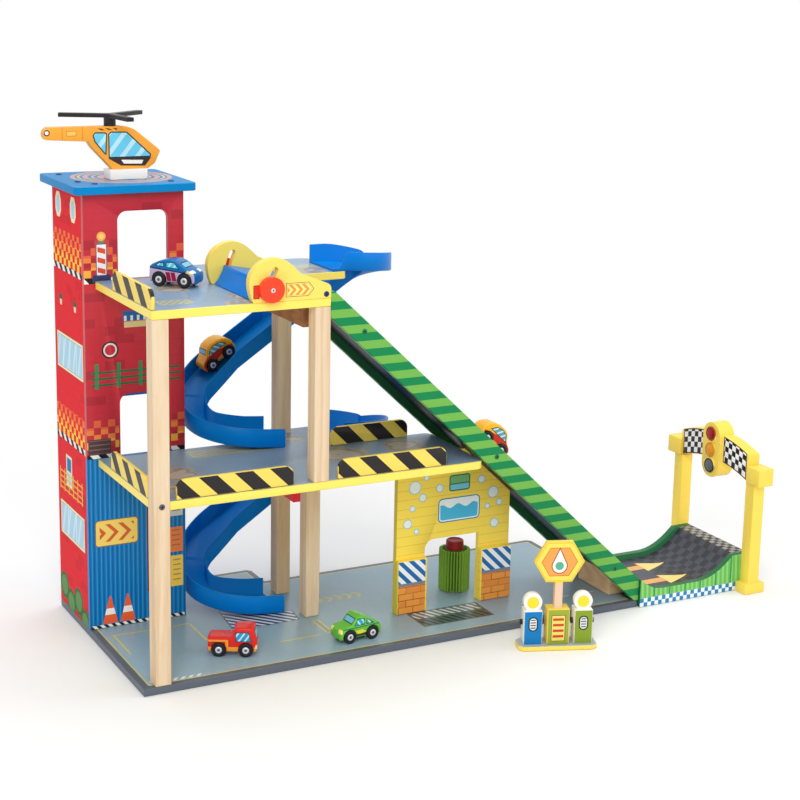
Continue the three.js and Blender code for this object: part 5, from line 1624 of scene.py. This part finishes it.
# %% Wheels
TRACK = 37.0
TYRE_WIDTH = 6.0
TYRE = [
    (0, 0.6), (6.8, 0.6), (7.2, 0), (9.2, 0.2), (10.1, 0.8), (10.4, 1.8), (10.4, 2.6), (10.0, 2.8),
    (10.0, 3.2), (10.4, 3.4), (10.4, 4.4), (10.1, 5.2), (9.2, 5.8), (7.6, 6.0), (6.6, 5.5), (5.2, 5.0),
    (0, 4.9),
]
HUB_CAP = [(5.0, 4.7), (5.0, 5.2), (4.4, 5.7), (3.4, 5.8), (2.4, 5.4), (0, 5.3)]
HUB_END = [(2.2, 5.2), (2.2, 5.5), (1.6, 5.9), (0, 6.0)]
AXLE_RADIUS = 1.5
AXLE_HALF = TRACK / 2 - TYRE_WIDTH + 1.0
rubber = Finish("tyre", (34, 34, 38), 0.55)
rubber.raise_by(rubber.cloud(1.4), 0.12)
steel = Finish("bright hub", (228, 230, 236), 0.3)
steel.feed(steel.shader, {"Metallic": 0.35})
steel_material = steel.done(0.05)
wheel_materials = (rubber.done(), steel_material, Finish("hub end", (120, 96, 100), 0.4).done())


def wheel_pair(name, end):
    """Two tyres, their hub caps and the axle, as the one piece that turns."""
    joint = joints[f"{name}_{end}_spin"]
    middle = Vector(joint["pos_m"])
    axis = Vector(joint["axis"]).normalized()
    shape = bmesh.new()
    for side in (-1, 1):
        outward = axis * side
        start = middle + outward * (TRACK / 2 - TYRE_WIDTH) * MM
        turned(shape, TYRE, start, outward, 36)
        turned(shape, HUB_CAP, start, outward, 28, 1)
        turned(shape, HUB_END, start, outward, 28, 2)
    turned(shape, [(AXLE_RADIUS, -AXLE_HALF), (AXLE_RADIUS, AXLE_HALF)], middle, axis, 12, 1)
    node = f"{name}_{end}_wheels"
    mesh = to_mesh(shape, node + "_pair")
    for material in wheel_materials:
        mesh.materials.append(material)
    stand_in(node, mesh, None)


for name in CAR_BODIES:
    for end in ENDS:
        wheel_pair(name, end)
print("cars:", len(CAR_BODIES), "bodies,", 2 * len(CAR_BODIES), "wheel pairs")

# %% [markdown]
# ## Screws
#
# Screws hold the rails, the roof, the posts and the launcher. They are all the same low head
# with a cross slot, so one Geometry Nodes tree places a head at each point of a small mesh
# and turns it to face along the point's stored direction.

# %% Screw tree
def screw_heads():
    """Screw heads with a crossed slot, one for each point, facing along 'facing'."""
    heads = Grower(
        "screw heads", ("Geometry", "Geometry"), ("Head Radius", "Float"), ("Head Height", "Float"),
        ("Head Finish", "Material"), ("Slot Finish", "Material"),
    )
    radius, height = heads.given["Head Radius"], heads.given["Head Height"]
    head = heads.node("GeometryNodeMeshCone", {
        "Vertices": 24, "Side Segments": 2, "Radius Bottom": radius,
        "Radius Top": heads.math("MULTIPLY", radius, 0.8), "Depth": height,
    })[0]
    parts = [heads.painted(head, "Head Finish")]
    length, width = [heads.math("MULTIPLY", radius, share) for share in (1.1, 0.26)]
    deep = heads.math("MULTIPLY", height, 2.1)
    for along, across in ((length, width), (width, length)):
        size = heads.node("ShaderNodeCombineXYZ", {0: along, 1: across, 2: deep})[0]
        bar = heads.node("GeometryNodeMeshCube", {"Size": size})[0]
        parts.append(heads.painted(bar, "Slot Finish"))
    facing = heads.node(
        "GeometryNodeInputNamedAttribute", {"Name": "facing"}, data_type="FLOAT_VECTOR",
    )[0]
    points = heads.given["Geometry"]
    return heads.close(heads.copies(points, heads.join(*parts), facing, "Z"))


screw_tree = screw_heads()
slot_paint = Finish("screw slot", (30, 30, 34), 0.6).done()


def screws(name, places, radius, height, finish, body):
    """Screw heads at places in millimetres, each with the direction it faces."""
    points = bpy.data.meshes.new(name + "_points")
    points.from_pydata([spot(*place) for place, direction in places], [], [])
    facing = points.attributes.new("facing", "FLOAT_VECTOR", "POINT")
    for entry, (place, direction) in zip(facing.data, places):
        entry.vector = direction
    mesh = grow(name, screw_tree, {
        "Head Radius": radius * MM, "Head Height": height * MM,
        "Head Finish": finish, "Slot Finish": slot_paint,
    }, points)
    place_piece(name, mesh, finish, body)


def both_sides(places, low=-0.2, high=168.2):
    """The same places on the front and on the back of the ramp and the launcher."""
    return [((x, low, z), FRONT) for x, z in places] + [((x, high, z), BACK) for x, z in places]


# %% Screws in their places
green_screw = Finish("green screw", (18, 116, 72), 0.35).done()
blue_screw = Finish("blue screw", (14, 62, 120), 0.35).done()
dark_steel = Finish("dark steel", (92, 92, 98), 0.4).done()
roof_places = [((x, y, roof_top + 0.3), UP) for x, y in ((24, 260), (141, 258), (8, 291), (8.5, 386))]
rail_places = both_sides(((337, 498), (565, 285), (793, 72)))
screws("roof_screws", roof_places, 5.0, 1.0, blue_screw, "garage")
screws("rail_screws", rail_places, 4.0, 0.9, green_screw, "garage")
screws("post_bolts", [((29, -0.2, 275), FRONT)], 4.4, 1.2, dark_steel, "garage")
screws("launcher_pins", both_sides([(276, 557)]), 4.2, 1.0, blue_screw, "garage")
knob_low, knob_high = box_mm("knob_front")
knob_x, _, knob_z = (knob_low + knob_high) / 2
knob_places = both_sides([(knob_x, knob_z)], knob_low.y - 0.3, box_mm("knob_back")[1].y + 0.3)
screws("knob_screws", knob_places, 3.4, 1.2, steel_material, "tray")
